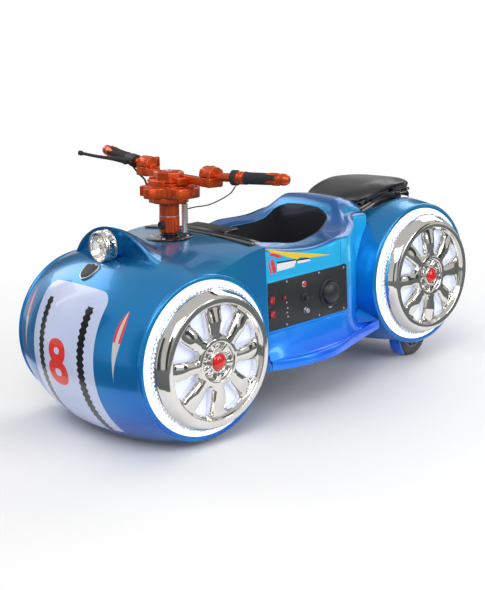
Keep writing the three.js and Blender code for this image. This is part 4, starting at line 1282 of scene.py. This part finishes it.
flash = [(-250, 573), (-206, 562), (-156.5, 548), (-88.5, 534), (46, 504.5), (-1.5, 508), (-60, 512),
         (-100, 522), (-112, 515), (-153.5, 530), (-190, 546), (-231.5, 560)]
marks = [("flash", yellowDecal, flash, 0.9),
         ("redSweep", redDecal, [(-247, 553), (-225, 556), (-196, 546), (-176, 533), (-200, 536), (-222, 546)],
          1.0),
         ("redBar", redDecal, [(-234, 534), (-220, 536), (-209, 490), (-224, 488)], 1.1),
         ("redBarThin", redDecal, [(-246, 530), (-240, 532), (-230, 489), (-236, 488)], 1.0),
         ("darkBar", blackMatt, [(-203, 524), (-60, 514), (-54, 506), (-208, 515)], 0.8),
         ("whiteBar", whiteDecal, [(-206, 518), (-118, 514), (-128, 494), (-206, 492)], 1.0),
         ("whiteStripe", whiteDecal, [(-112, 511), (-58, 508), (-52, 501), (-112, 502)], 1.0)]
for name, finish, outline, rise in marks:
    mark = plateOnSide(name + "_left", outline, 319.4, 320 + rise, 0.2)
    settle(mirrorX(mark, name + "_right"), "body", "blue_body", finish)
    settle(mark, "body", "blue_body", finish)
print("side marks ready")


# Footboards.
# Each row: place along the body, inner and outer half width. Each edge point: part outwards, height, rounding.
boardRows = [(-271.5, 326.6, 352), (-211.5, 325, 380), (-151.5, 322, 395), (-81.5, 320.8, 400),
             (-11.5, 320.6, 394), (68.5, 320.6, 369), (90.5, 320.4, 361), (118.5, 315, 350), (168.5, 297, 334),
             (191.5, 283, 326), (218.5, 264, 318), (258.5, 231, 307), (290, 211, 298), (318, 202, 291)]
boardEdge = [(0, 290, 0), (0.07, 287, 5), (0.15, 258, 14), (0.27, 240, 10), (0.64, 211, 8), (0.75, 207, 6),
             (0.86, 212, 6), (0.965, 209, 6), (1.0, 194, 6), (0.97, 178, 3), (0.9, 178, 3), (0.84, 198, 6),
             (0.6, 201, 6), (0.22, 231, 6), (0, 240, 0)]


boardShape = {"steps": 56, "fall": 46, "fallFrom": 100, "fallLength": 110, "fallFoot": 212, "fallHeight": 75}


def buildFootboard():
    b = boardShape
    turns = [turn for part, z, turn in boardEdge]

    def place(u, v):
        y = mix(boardRows[0][0], boardRows[-1][0], v)
        inner, outer = between(boardRows, y)
        fall = b["fall"] * smooth((y - b["fallFrom"]) / b["fallLength"])
        points = [(mix(inner, outer, part), z - fall * min(max((z - b["fallFoot"]) / b["fallHeight"], 0), 1))
                  for part, z, turn in boardEdge]
        line = rounded(points, turns, 4)
        x, z = line[round(u * (len(line) - 1))]
        return x, y, z

    count = len(rounded([(part * 70, z) for part, z, turn in boardEdge], 5, 4)) - 1
    return cleanMesh(fillHoles(sheetOf("footboard_left", count, b["steps"], place, 42)), 42)


boardLeft = buildFootboard()
settle(mirrorX(boardLeft, "footboard_right"), "body", "blue_body", litSidePaintCopy, "footboard_right")
settle(boardLeft, "body", "blue_body", litSidePaintCopy, "footboard_left")
print("footboards ready")


# Headlight, cowl and badge.
cowlShape = {"archRadius": 272, "archCentre": 399, "archHalf": 56, "lipPlace": -626, "wallPlace": -602,
             "tailPlace": -474, "tailSweep": 128, "tailHalf": 232, "nicheHalf": 222, "lipSweep": 10,
             "wallSweep": 16, "sunk": 5, "columns": 72, "nicheRows": 16, "outerRows": 26, "wall": 3}


def buildCowl():
    c = cowlShape
    columns, nicheRows, outerRows = c["columns"], c["nicheRows"], c["outerRows"]
    rows = nicheRows + outerRows

    def place(u, v):
        f = 2 * u - 1
        angle = math.radians(c["archHalf"]) * f
        lip = Vector((c["archRadius"] * math.sin(angle), c["lipPlace"] + c["lipSweep"] * f * f,
                      c["archCentre"] + (c["archRadius"] - 1) * math.cos(angle)))
        row = round(v * rows)
        if row <= nicheRows:
            t = 1 - row / nicheRows
            x = mix(lip.x * (1 - 0.03 * min(t * 8, 1)), c["nicheHalf"] * f, t)
            y = mix(lip.y, c["wallPlace"] - c["wallSweep"] * f ** 4, 1 - (1 - t) ** 3)
            foot = shelfLimit(x, y, noseHeight(x, y)) - 3
            return x, y, mix(lip.z - 4 * min(t * 10, 1), min(foot, lip.z - 3), t)
        t = (row - nicheRows) / outerRows
        tail = Vector((c["tailHalf"] * f, c["tailPlace"] - c["tailSweep"] * abs(f) ** 2.4, 0))
        tail.z = noseHeight(tail.x, tail.y) - c["sunk"]
        x, y = mix(lip.x, tail.x, t), mix(lip.y, tail.y, t)
        return x, y, max(mix(lip.z, tail.z, smooth(t)), noseHeight(x, y) - c["sunk"])

    cowl = sheetOf("headlightCowl", columns, rows, place, 40)
    modify(cowl, 'BEVEL', width=4.5 * mm, segments=4, limit_method='ANGLE', angle_limit=math.radians(46))
    return modify(cowl, 'SOLIDIFY', thickness=c["wall"] * mm, offset=-1)


lampShape = {"rear": -619.5, "z": 613, "stretch": 12, "stretchFrom": 19, "ribs": 24}


def lampTurned(name, profile, steps=72, smoothAngle=32):
    # Profile distances count forwards from the rear of the lamp; past the ribbed part all moves forward.
    p = lampShape
    points = [(r, p["rear"] - d - (p["stretch"] if d > p["stretchFrom"] + 0.8 else 0)) for r, d in profile]
    return lathe(name, points, (0, 0, p["z"]), 'Y', steps, smoothAngle)


def buildLampBody():
    p = lampShape
    shape = rounded([(0, 2), (40, 2), (46, 6), (51, 14), (51.5, 17), (48.5, 19), (48.5, 26), (51.8, 28),
                     (51.8, 32), (49, 34), (49, 37), (50.5, 39), (49.5, 43.5), (45, 44), (43.2, 42), (42.4, 36),
                     (34, 22), (20, 13), (0, 9)],
                    [0, 2, 3, 1, 1, 1, 1, 1, 1, 1, 1, 1.5, 1.5, 1.5, 1, 2, 8, 8, 0], 3)
    parts = [lampTurned("lampShell", shape)]
    for k in range(p["ribs"]):
        rib = block(f"rib{k}", (-2.2, -38, 47.6), (2.2, -19.5, 51.2), 0.9, 1)
        rib.data.transform(shifted(0, p["rear"], p["z"]) @ turned(360 * k / p["ribs"], 'Y'))
        parts.append(rib)
    return joined("headlightShell", parts)


settle(buildCowl(), "body", "blue_body", bluePaintWithPaintedLight, "headlight_cowl")
stub = rounded([(36, 8), (45.5, 8), (46.5, -6), (48, -26)], [0, 2, 3, 0], 3)
settle(lampTurned("lampStub", stub), "body", "blue_body", bluePaintWithPaintedLight)
settle(buildLampBody(), "body", "chrome_trim", chromeFinish, "headlight_housing")
glass = [(0, 39.5), (20, 39), (34, 37.5), (42, 35.5), (42, 34), (34, 36), (20, 37.5), (0, 38)]
settle(lampTurned("headlightGlass", glass, 64, 60), "body", "lamp_glass", lensFinish, "headlight_lens")
bulb = rounded([(0, 26), (5, 25), (8, 19), (8, 10)], [0, 2, 3, 0], 4)
settle(lampTurned("lampBulb", bulb, 32, 60), "body", "silver_metal", satinFinish)

badgeShape = {"inset": 0.87, "reach": 321, "out": 173, "up": 250}


def buildBadge():
    # A blank shield on the nose, square to the barrel under it.
    b = badgeShape
    outline = [(0, -38), (17, -31), (29, -18), (35, 2), (34, 23), (25, 31), (12, 28.5), (0, 35)]
    outline += [(-x, y) for x, y in outline[-2:0:-1]]
    inner = [(b["inset"] * x, b["inset"] * y) for x, y in outline]
    rim, field = slab("badgeRim", outline, -3, 3.2, 1), slab("badge", inner, 2.6, 4.2, 0.5)
    direction = math.atan2(b["up"], b["out"])
    out, up = b["reach"] * math.cos(direction), b["reach"] * math.sin(direction)
    place = shifted(0, frontAxle.y - out, frontAxle.z + up) @ Matrix.Rotation(pi / 2 - direction, 4, 'X')
    for part in (rim, field):
        part.data.transform(place)
    return rim, field


badgeRim, badgeField = buildBadge()
settle(badgeRim, "body", "silver_metal", satinFinish, "nose_badge")
settle(badgeField, "body", "black_gloss", blackMatt)
print("cowl ready")


# Hood trim and base plate.
trimShape = {"half": 285, "steps": 60, "front": -286.5, "rear": -236.5, "ribs": 7, "ribPitch": 8}


def buildTrim():
    t = trimShape
    profile = [(0, 1.0), (0.02, 4.6), (0.10, 6.0), (0.40, 6.2), (0.43, 3.4), (0.47, 3.4), (0.50, 6.0),
               (0.90, 5.6), (0.97, 4.4), (1, 1.0)]

    def place(u, v):
        x = (2 * v - 1) * t["half"]
        part, rise = profile[round(u * (len(profile) - 1))]
        end = 1 if abs(x) < t["half"] - 4 else 0.3
        hood = noseShape["hoodTop"] - noseShape["hoodFall"] * (x / noseShape["hoodHalf"]) ** 2
        return x, mix(t["front"], t["rear"], part), hood + rise * end

    parts = [sheetOf("trimStrip", len(profile) - 1, t["steps"], place, 30)]
    parts.append(block("trimBlock", (-110, -241.5, 598), (110, -179.5, 608), 4, 3))
    for k in range(t["ribs"]):
        y = -235 + t["ribPitch"] * k
        parts.append(block(f"trimRib{k}", (-104, y, 606), (104, y + 5, 610.8), 1.6, 2))
    return joined("hoodTrimStrip", parts)


baseShape = {"bolts": 4, "boltCircle": 62, "boltStart": 0.6}


def buildBasePlate():
    b = baseShape
    low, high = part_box("column_base_plate")
    middle = (low + high) / 2 / mm
    plate = spun("columnBase", [(24, 601), (79, 600.6), (79, 603), (72, 605), (46, 605), (42, 606), (39, 608.8),
                                (26, 608.8), (24, 601)], [0, 0.5, 2, 2, 2, 2, 1.5, 1, 0],
                 centre=(0, middle.y, 0), axis='Z', steps=96)
    bolts = []
    for k in range(b["bolts"]):
        angle = 2 * pi * k / b["bolts"] + b["boltStart"]
        centre = (b["boltCircle"] * math.cos(angle), middle.y + b["boltCircle"] * math.sin(angle), 0)
        bolts.append(spun(f"baseBolt{k}", [(0, 608.6), (5, 608.6), (5.5, 605.5), (6.5, 604.6)],
                          [0, 1, 0.5, 0], 2, centre=centre, axis='Z', steps=6, smoothAngle=30))
    return plate, joined("baseBolts", bolts)


settle(buildTrim(), "body", "black_gloss", blackGloss, "hood_trim")
basePlate, baseBolts = buildBasePlate()
settle(basePlate, "body", "black_gloss", blackGloss, "column_base_plate")
settle(baseBolts, "body", "silver_metal", satinFinish)


# Seat.
# Each row: place along the body, half width, height in the middle and at the side.
seatRows = [(340, 64, 634, 608), (360, 106, 645, 604), (390, 140, 658, 604), (430, 153, 671, 618),
            (498.5, 158, 684, 644), (578.5, 158, 682, 655), (650, 142, 675, 654), (710, 112, 663, 646),
            (760, 72, 645, 630), (792, 36, 620, 606)]
seatShape = {"columns": 40, "rows": 64, "thickness": 34, "voxel": 5, "pressure": 9, "frames": 20, "cap": 5,
             "shrink": 3.5, "fill": 0.9, "pipe": 2.6, "panDrop": 35.5, "panThickness": 9, "panWidth": 0.92,
             "postPlace": 118, "postHalf": 12}


def seatTop(x, y, widthPart=1.0):
    half, top, side = between(seatRows, y)
    part = min(abs(x) / max(half * widthPart, 1), 1)
    return mix(side, top, math.sqrt(max(1 - part ** 4, 0)))


def seatBody(name, lower, thickness, widthPart, shrink, front, rear):
    def place(u, v):
        # first half of u runs over the top, the other half back underneath
        y = mix(front + shrink, rear - shrink, v)
        half = between(seatRows, y)[0] * widthPart - shrink
        under = u > 0.5
        part = 1 - 4 * u if not under else 4 * u - 3
        x = half * math.copysign(min(abs(part), 1) ** 0.8, part)
        top = seatTop(x, y, widthPart) - lower
        return (x * 0.985, y, top - thickness + shrink) if under else (x, y, top - shrink)

    return cleanMesh(fillHoles(sheetOf(name, seatShape["columns"] * 2, seatShape["rows"], place, 45)), 45)


def puffUp(piece):
    # The cushion swells a little under pressure; no point moves further than the cap.
    s = seatShape
    choose(piece)
    modify(piece, 'REMESH', mode='VOXEL', voxel_size=s["voxel"] * mm)
    start = [point.co.copy() for point in piece.data.vertices]
    cloth = piece.modifiers.new("cloth", 'CLOTH')
    cloth.settings.use_pressure = True
    cloth.settings.uniform_pressure_force = s["pressure"]
    cloth.settings.effector_weights.gravity = 0
    for step in range(1, s["frames"] + 1):
        bpy.context.scene.frame_set(step)
    choose(piece)
    bpy.ops.object.modifier_apply(modifier=cloth.name)
    bpy.context.scene.frame_set(1)
    for point, before in zip(piece.data.vertices, start):
        move = point.co - before
        if move.length > s["cap"] * mm:
            point.co = before + move.normalized() * s["cap"] * mm
    modify(piece, 'SUBSURF', levels=1)
    return piece


def addCover(piece):
    # A UV map in metres, laid flat over the cushion, carries the weave.
    layer = piece.data.uv_layers.new(name="coverMap")
    for loop in piece.data.loops:
        place = piece.data.vertices[loop.vertex_index].co
        layer.data[loop.index].uv = (place.x, place.y)
    choose(piece)
    bpy.ops.object.shade_smooth()
    return piece


def buildSeatEdge():
    # Piping along the lower edge of the cushion.
    path = []
    for side in (1, -1):
        rows = [(354 + 12 * k, *between(seatRows, 354 + 12 * k)) for k in range(35)]
        points = [Vector((side * (half - 7), y, low - 17)) for y, half, top, low in rows]
        path += points if side > 0 else points[::-1]
    return tubeAlong("seatPiping", path, seatShape["pipe"], 10)


def buildSeatPan():
    s = seatShape
    parts = [seatBody("seatPan", s["panDrop"], s["panThickness"], s["panWidth"], 0, 398, 776)]
    for side in (1, -1):
        x, half = side * s["postPlace"], s["postHalf"]
        parts.append(block(f"seatPost{side}", (x - half, 603.5, 590), (x + half, 638.5, 636), 3))
    return joined("seatPanAndPosts", parts)


cushion = seatBody("seatCushion", 0, seatShape["thickness"], 1, seatShape["shrink"], 340, 792)
settle(addCover(puffUp(cushion)), "body", "seat_cover", seatFinish, "seat_cushion")
settle(buildSeatEdge(), "body", "black_rubber", rubberFinish)
settle(buildSeatPan(), "body", "black_gloss", blackGloss, "seat_pan")
print("seat ready")


# Steering column, plate and hub.
steer = {"pivot": (0, -381.5, 700), "rake": -3.5, "parked": 5, "hub": 105, "lean": 3.5, "clamp": (150, 45, 10),
         "sweep": 10, "rise": -4.5}


steeringAt = shifted(*steer["pivot"]) @ turned(steer["rake"], 'X') @ turned(steer["parked"], 'Z')
barsAt = steeringAt @ shifted(0, 0, steer["hub"]) @ turned(steer["lean"], 'Y')


def barAt(side):
    x, y, z = steer["clamp"]
    heading = steer["sweep"] if side > 0 else 180 - steer["sweep"]
    return barsAt @ shifted(side * x, y, z) @ turned(heading, 'Z') @ turned(steer["rise"], 'Y')


def onSteering(piece, slot, finish, *nodes, at=steeringAt):
    piece.data.transform(at)
    return settle(piece, "steering", slot, finish, *nodes)


def capScrew(name, place, radius=5, height=4.5):
    profile = [(radius, -1), (radius, height - 0.8), (radius - 0.8, height), (radius * 0.55, height),
               (radius * 0.5, height - 2.2), (0, height - 2.2)]
    return spun(name, profile, [0, 0.8, 0.6, 0.3, 0.2, 0], 2, centre=place, axis='Z', steps=24, smoothAngle=30)


def notchedRadius(angle, radius, notches, reach, size):
    # Outer edge of a round plate with round bites taken out of it.
    for degrees in notches:
        turn = angle - math.radians(degrees)
        across = reach * math.sin(turn)
        if abs(across) < size and math.cos(turn) > 0:
            radius = min(radius, reach * math.cos(turn) - math.sqrt(size ** 2 - across ** 2))
    return radius


def roundSlab(name, edge, bottom, top, bevel, count=180):
    outline = []
    for k in range(count):
        angle = 2 * pi * k / count
        outline.append((edge(angle) * math.cos(angle), edge(angle) * math.sin(angle)))
    return slab(name, outline, bottom, top, bevel, 3)


plateShape = {"radius": 102, "bites": (236, 304), "biteReach": 122, "biteSize": 52, "screwCircle": 84,
              "screws": (20, 65, 115, 160, 270), "lobes": 5, "lobeRadius": 65, "lobeDepth": 3.2, "stepTeeth": 8,
              "stepRadius": 70, "stepDepth": 2}


def buildPost():
    post = [spun("postUpper", [(0, -27.4), (32.4, -27.4), (33, -26), (33, 8), (36, 13), (36, 15), (0, 15)],
                 [0, 0.6, 0.6, 3, 1, 1, 0], axis='Z', steps=72),
            spun("postLower", [(0, -84), (31, -84), (33.6, -81), (33.6, -31), (32.4, -29.2), (0, -29.2)],
                 [0, 1, 2, 1, 1, 0], axis='Z', steps=72)]
    for k in range(2):
        rib = block(f"postRib{k}", (-9, 26, -80), (9, 37.5, -34), 3, 3)
        rib.data.transform(turned(180 * k + 90, 'Z'))
        post.append(rib)
    return joined("steeringPost", post)


def buildPlate():
    p = plateShape

    def bitten(angle):
        return notchedRadius(angle, p["radius"], p["bites"], p["biteReach"], p["biteSize"])

    def lobed(angle):
        return p["lobeRadius"] + p["lobeDepth"] * math.cos(p["lobes"] * angle)

    def stepped(angle):
        return p["stepRadius"] + p["stepDepth"] * math.cos(p["stepTeeth"] * angle)

    parts = [roundSlab("plateUpper", bitten, 34, 67.5, 3.2), roundSlab("plateLower", lobed, 15.2, 34.5, 3)]
    for k, degrees in enumerate(p["screws"]):
        x, y = (p["screwCircle"] * way(math.radians(degrees)) for way in (math.cos, math.sin))
        parts.append(capScrew(f"plateScrew{k}", (x, y, 67), 5.5, 3.5))
    parts.append(roundSlab("plateStep", stepped, 66.5, 71.5, 1.6, 120))
    return joined("steeringPlate", parts)


# Blocks of the hub: name, low corner, high corner and bevel.
hubBlocks = [("hubBase", (-58, -48, 70), (58, 40, 82), 3), ("hubCap", (-56, -46, 83.2), (56, 38, 92), 2.5),
             ("hubFront", (-34, -57, 66), (34, -44, 90), 3.5), ("hubRear", (-30, 36, 68), (30, 50, 94), 3.5),
             ("hubJawLeft", (38, -24, 76), (72, 46, 100), 4),
             ("hubJawRight", (-72, -24, 76), (-38, 46, 100), 4)]


def buildHub():
    parts = [block(name, low, high, bevel, 3) for name, low, high, bevel in hubBlocks]
    crown = [(0, 88), (50, 88), (50, 114), (46.5, 119.6), (24, 120), (22, 117.5), (0, 117.5)]
    parts.append(spun("hubCrown", crown, [0, 1, 2, 2, 1, 1, 0], axis='Z', steps=8, smoothAngle=20))
    for k, (x, y) in enumerate([(48, -38), (-48, -38), (48, 30), (-48, 30)]):
        parts.append(capScrew(f"hubScrew{k}", (x, y, 91.5), 5.5, 5))
    return joined("steeringHub", parts)


onSteering(buildPost(), "orange_anodised", orangeFinish, "steering_column")
onSteering(spun("columnShaft", [(0, -460), (22, -460), (22, -84), (0, -84)], [0, 1, 1, 0], 2, axis='Z',
                steps=48), "frame_paint", frameFinish)
onSteering(spun("columnCollar", [(22, -91), (27, -91), (27, -85), (22, -84)], [0, 2, 2, 0], axis='Z',
                steps=48), "black_gloss", blackGloss)
onSteering(spun("postSeam", [(31, -29.4), (33.9, -29.3), (33.9, -27.3), (31, -27.2)], [0, 0.5, 0.5, 0], 2,
                axis='Z', steps=72), "silver_metal", satinFinish)
onSteering(spun("postLock", [(14, -28), (14, -39.5), (12, -42), (8.5, -42), (7.5, -40.5), (0, -40.5)],
                [0, 1.5, 1, 0.5, 0.5, 0], centre=(0, 0, -57), axis='Y', steps=40), "black_matt", blackMatt)
onSteering(buildPlate(), "orange_anodised", orangeFinish, "steering_plate")
onSteering(buildHub(), "orange_anodised", orangeFinish, "steering_hub")
onSteering(spun("hubNut", [(0, 124), (10, 124), (12.5, 121.5), (12.5, 117)], [0, 1, 1, 0], 2, axis='Z', steps=6,
                smoothAngle=20), "silver_metal", satinFinish)
conduit = {"count": 14, "pitch": 7, "bottom": -86, "top": 12, "inner": 7.6, "outer": 11.2, "place": (36, 36, 0)}
beads = [(0, conduit["bottom"])]
for k in range(conduit["count"]):
    z = conduit["bottom"] + conduit["pitch"] * k
    beads += [(conduit["inner"], z), (conduit["outer"], z + 1.4), (conduit["outer"], z + 4.8),
              (conduit["inner"], z + 6.2)]
onSteering(lathe("cableConduit", beads + [(0, conduit["top"])], conduit["place"], 'Z', 28, 30), "silver_metal",
           chromeFinish, "cable_conduit")

# Clamps, bars, grips, lever and cables.
clampShape = {"arcY": 45, "arcZ": 14, "halfLength": 33, "rise": 30, "low": 126, "high": 174}
gripShape = {"start": 141, "ribs": 18, "pitch": 5.6, "radius": 19.4, "taper": 0.04, "depth": 1.0}
leverShape = {"path": [(89, 38, 0), (130, 58, 0), (196, 87, -3), (284, 110, -6)], "steps": 14, "sides": 14,
              "thick": 8.2, "thinning": 3.6, "knob": 2.4, "flat": 1.25}


def buildClamp(side):
    c = clampShape
    arc = [(c["arcY"] + c["halfLength"] * math.cos(t * pi / 16), c["arcZ"] + c["rise"] * math.sin(t * pi / 16))
           for t in range(17)]
    upper = slab("clampUpper", [(78, 11)] + arc + [(12, 11)], c["low"], c["high"], 2.5, 3)
    upper.data.transform(outward)
    parts = [block("clampArm", (32, 14, -20), (132, 42, 6), 5),
             block("clampLower", (124, 12, -22), (176, 78, 9), 5), upper,
             block("clampPost", (126, 60, 4), (140, 76, 42), 3)]
    for k, (x, y) in enumerate([(133, 17), (167, 17), (133, 73), (167, 73)]):
        parts.append(capScrew(f"clampScrew{k}", (x, y, 30), 4.5, 4.5))
        parts.append(spun(f"clampBoss{k}", [(6.4, 8), (6.4, 29), (5, 30.5), (0, 30.5)], [0, 1, 1, 0], 2,
                          centre=(x, y, 0), axis='Z', steps=24))
    clamp = joined("clamp", parts)
    return clamp if side > 0 else mirrorInto(clamp)


def buildBar(side):
    collar = rounded([(14, 104), (21, 104), (21, 110), (18.6, 111.5), (18.6, 114), (21, 115.5), (21, 124),
                      (18.6, 125.5), (18.6, 128), (21, 129.5), (21, 134), (14, 134.2)],
                     [0] + [0.8] * 10 + [0], 2)
    if side < 0:
        collar = [(14, 104), (15, 104.5), (15, 133.5), (14, 134)]
    parts = [spun("barShaft", [(0, -32), (12.5, -32), (14, -30.5), (14, 104)], [0, 1, 1, 0], 2, steps=48),
             lathe("barCollar", collar, steps=48),
             spun("barCap", [(12, 249), (18.9, 249.6), (18.9, 262), (17.2, 263.5), (17.2, 266), (18.9, 267.5),
                             (18.6, 280), (15, 289), (8, 294), (0, 295)],
                  [0, 1, 0.8, 0.8, 0.8, 0.8, 5, 4, 4, 0], steps=48)]
    finger = [(256, -7), (230, -6.5), (212, 0), (230, 6.5), (256, 7)]
    for k in range(4):
        parts.append(slab(f"capFinger{k}", finger, 16.5, 20.6, 1.2))
        parts[-1].data.transform(turned(90 * k + 30, 'X'))
    return joined("bar", parts)


def buildGrip():
    g = gripShape
    profile = [(14.4, 134.6), (20.6, 134.8), (21, 137), (20.4, 139.5)]
    for k in range(g["ribs"]):
        x, outer = g["start"] + g["pitch"] * k, g["radius"] - g["taper"] * k
        inner = outer - g["depth"]
        profile += [(outer, x), (outer, x + 3.6), (inner, x + 4.1), (inner, x + 5.1)]
    profile += [(19.4, 243), (19.8, 246), (18.8, 249), (14.4, 249.3)]
    return lathe("grip", profile, steps=48, smoothAngle=28)


def leverRadius(t):
    v = leverShape
    return v["thick"] - v["thinning"] * smooth(t * 1.5) + (v["knob"] if t > 0.95 else 0)


def buildLever():
    v = leverShape
    blade = tubeAlong("leverBlade", smoothPath(v["path"], v["steps"]), leverRadius, v["sides"])
    for point in blade.data.vertices:
        point.co.z *= v["flat"]
    perch = [(14.4, 72), (22, 72), (23, 74), (23, 102), (20, 106), (20, 131), (18, 134.4), (15.3, 134.4)]
    parts = [blade, spun("leverPerch", perch, [0, 1.5, 2, 2, 2, 2, 1.5, 0], steps=48),
             block("perchArm", (75, 15, -9.5), (103, 46, 9.5), 4),
             spun("leverPivot", [(0, -12), (6, -12), (6, 12), (0, 12)], [0, 1.5, 1.5, 0], centre=(90, 38, 0),
                  axis='Z', steps=24),
             spun("cableBarrel", [(0, 58), (5.5, 58), (5.5, 76), (0, 76)], [0, 1, 1, 0], 2, centre=(0, 31, 0),
                  steps=24)]
    return joined("brakeLever", parts)


for side, word in ((1, "left"), (-1, "right")):
    for piece, name, slot, finish, node, place in (
            (buildClamp(side), "handlebarClamp_", "orange_anodised", orangeFinish, "handlebar_clamp_", barsAt),
            (buildBar(side), "handlebar", "orange_anodised", orangeFinish, "handlebar_", barAt(side)),
            (buildGrip(), "gripSleeve", "black_rubber", rubberFinish, "grip_", barAt(side))):
        onSteering(piece, slot, finish, node + word, at=place)
        piece.name = name + word
flange = [(14.4, 84), (23, 84), (25, 86), (25, 93), (23.5, 95), (23.5, 97), (25, 99), (25, 102.5), (23, 104.4),
          (14.4, 104.4)]
onSteering(spun("throttleFlange", flange, [0] + [1.2] * 8 + [0], steps=56), "black_rubber", rubberFinish,
           "throttle_flange", at=barAt(1))
onSteering(buildLever(), "black_gloss", blackMatt, "brake_lever", at=barAt(-1))

# Leads in the frame of the steering: start on the bar, points on the way, radius and sides.
leads = {"brake": ((72, 31, 0), [(-205, 48, 96), (-165, 40, 78), (-135, 26, 58), (-106.8, 22, 52)], 3.3, 14),
         "throttle": ((94, 0, -27.2), [(205, 70, 50), (130, 62, 14), (75, 48, 2), (45.5, 38, -6)], 2.2, 12)}


def leadFrom(name, side, start, points, radius, sides):
    first = (steeringAt.inverted() @ barAt(side)) @ (Vector(start) * mm) / mm
    return tubeAlong(name, smoothPath([first] + points, 12), radius, sides)


onSteering(leadFrom("brakeCable", -1, *leads["brake"]), "black_rubber", rubberFinish, "brake_cable")
onSteering(leadFrom("throttleWire", 1, *leads["throttle"]), "silver_metal", hubGrey, "throttle_wire")
print("steering ready")


# Wheels, brackets and frame.
running = {"driveAt": (0, 0, -591.1), "drive": (110, 60, 70), "rear": (80, 36, 50), "groove": 3.5, "ribs": 6}


def buildTyre(name, radius, width, bore):
    half = width / 2
    line = [(bore, -half + 3), (bore + 4, -half + 1), (radius - 9, -half), (radius - 1.5, -half + 6)]
    for k in (-1, 0, 1):
        x, low = k * width * 0.2, radius - running["groove"]
        line += [(radius, x - 2.4), (low, x - 1.7), (low, x + 1.7), (radius, x + 2.4)]
    line += [(radius - 1.5, half - 6), (radius - 9, half), (bore + 4, half - 1), (bore, half - 3),
             (bore, 3 - half)]
    return spun(name, line, [0, 1, 4, 2] + [0.6] * 12 + [2, 4, 1, 0.5, 0], 2, steps=96, smoothAngle=40)


def buildWheelRim(name, bore, width):
    half = width / 2 - 3
    ring = [(bore - 7, -half), (bore + 0.4, -half), (bore + 0.4, half), (bore - 7, half), (bore - 7, -half)]
    parts = [spun(name, ring, [0, 1, 1, 1, 0], 2, steps=72),
             spun("web", [(0, -4), (bore - 6, -4), (bore - 6, 4), (0, 4)], [0, 0.5, 0.5, 0], 2, steps=60),
             spun("boss", [(0, -half - 1), (15, -half - 1), (15, half + 1), (0, half + 1)], [0, 2, 2, 0],
                  steps=40)]
    for k in range(running["ribs"]):
        rib = block(f"rib{k}", (-half + 3, -4, 12), (half - 3, 4, bore - 5), 1.5, 2)
        rib.data.transform(turned(360 / running["ribs"] * k, 'X'))
        parts.append(rib)
    return joined(name, parts)


def setWheel(name, size, place, node, body):
    radius, width, bore = size
    tyre, rim = buildTyre(name + "Tyre", radius, width, bore), buildWheelRim(name + "Rim", bore, width)
    for piece in (tyre, rim):
        piece.data.transform(place)
    settle(tyre, body, "tyre", tyreFinish, node)
    settle(rim, body, "silver_metal", hubGrey)


driveAt = steeringAt @ shifted(*running["driveAt"])
setWheel("driveWheel", running["drive"], driveAt, "drive_wheel", "drive_wheel")
for word in ("left", "right"):
    node = "rear_wheel_" + word
    setWheel("rearWheel_" + word, running["rear"], shifted(*middleOf(node)), node, f"rear_{word}_wheel")
# Parts of the CAD model that stay as they are and only take a finish.
for node, finish in (("rear_wheel_bracket_left", litSidePaintCopy), ("rear_wheel_bracket_right", litSidePaintCopy),
                     ("chassis_frame", frameFinish), ("battery_box", blackMatt), ("drive_fork", frameFinish),
                     ("drive_motor", blackMatt)):
    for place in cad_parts[node].material_slots:
        place.material = finish
print("wheels and frame ready")
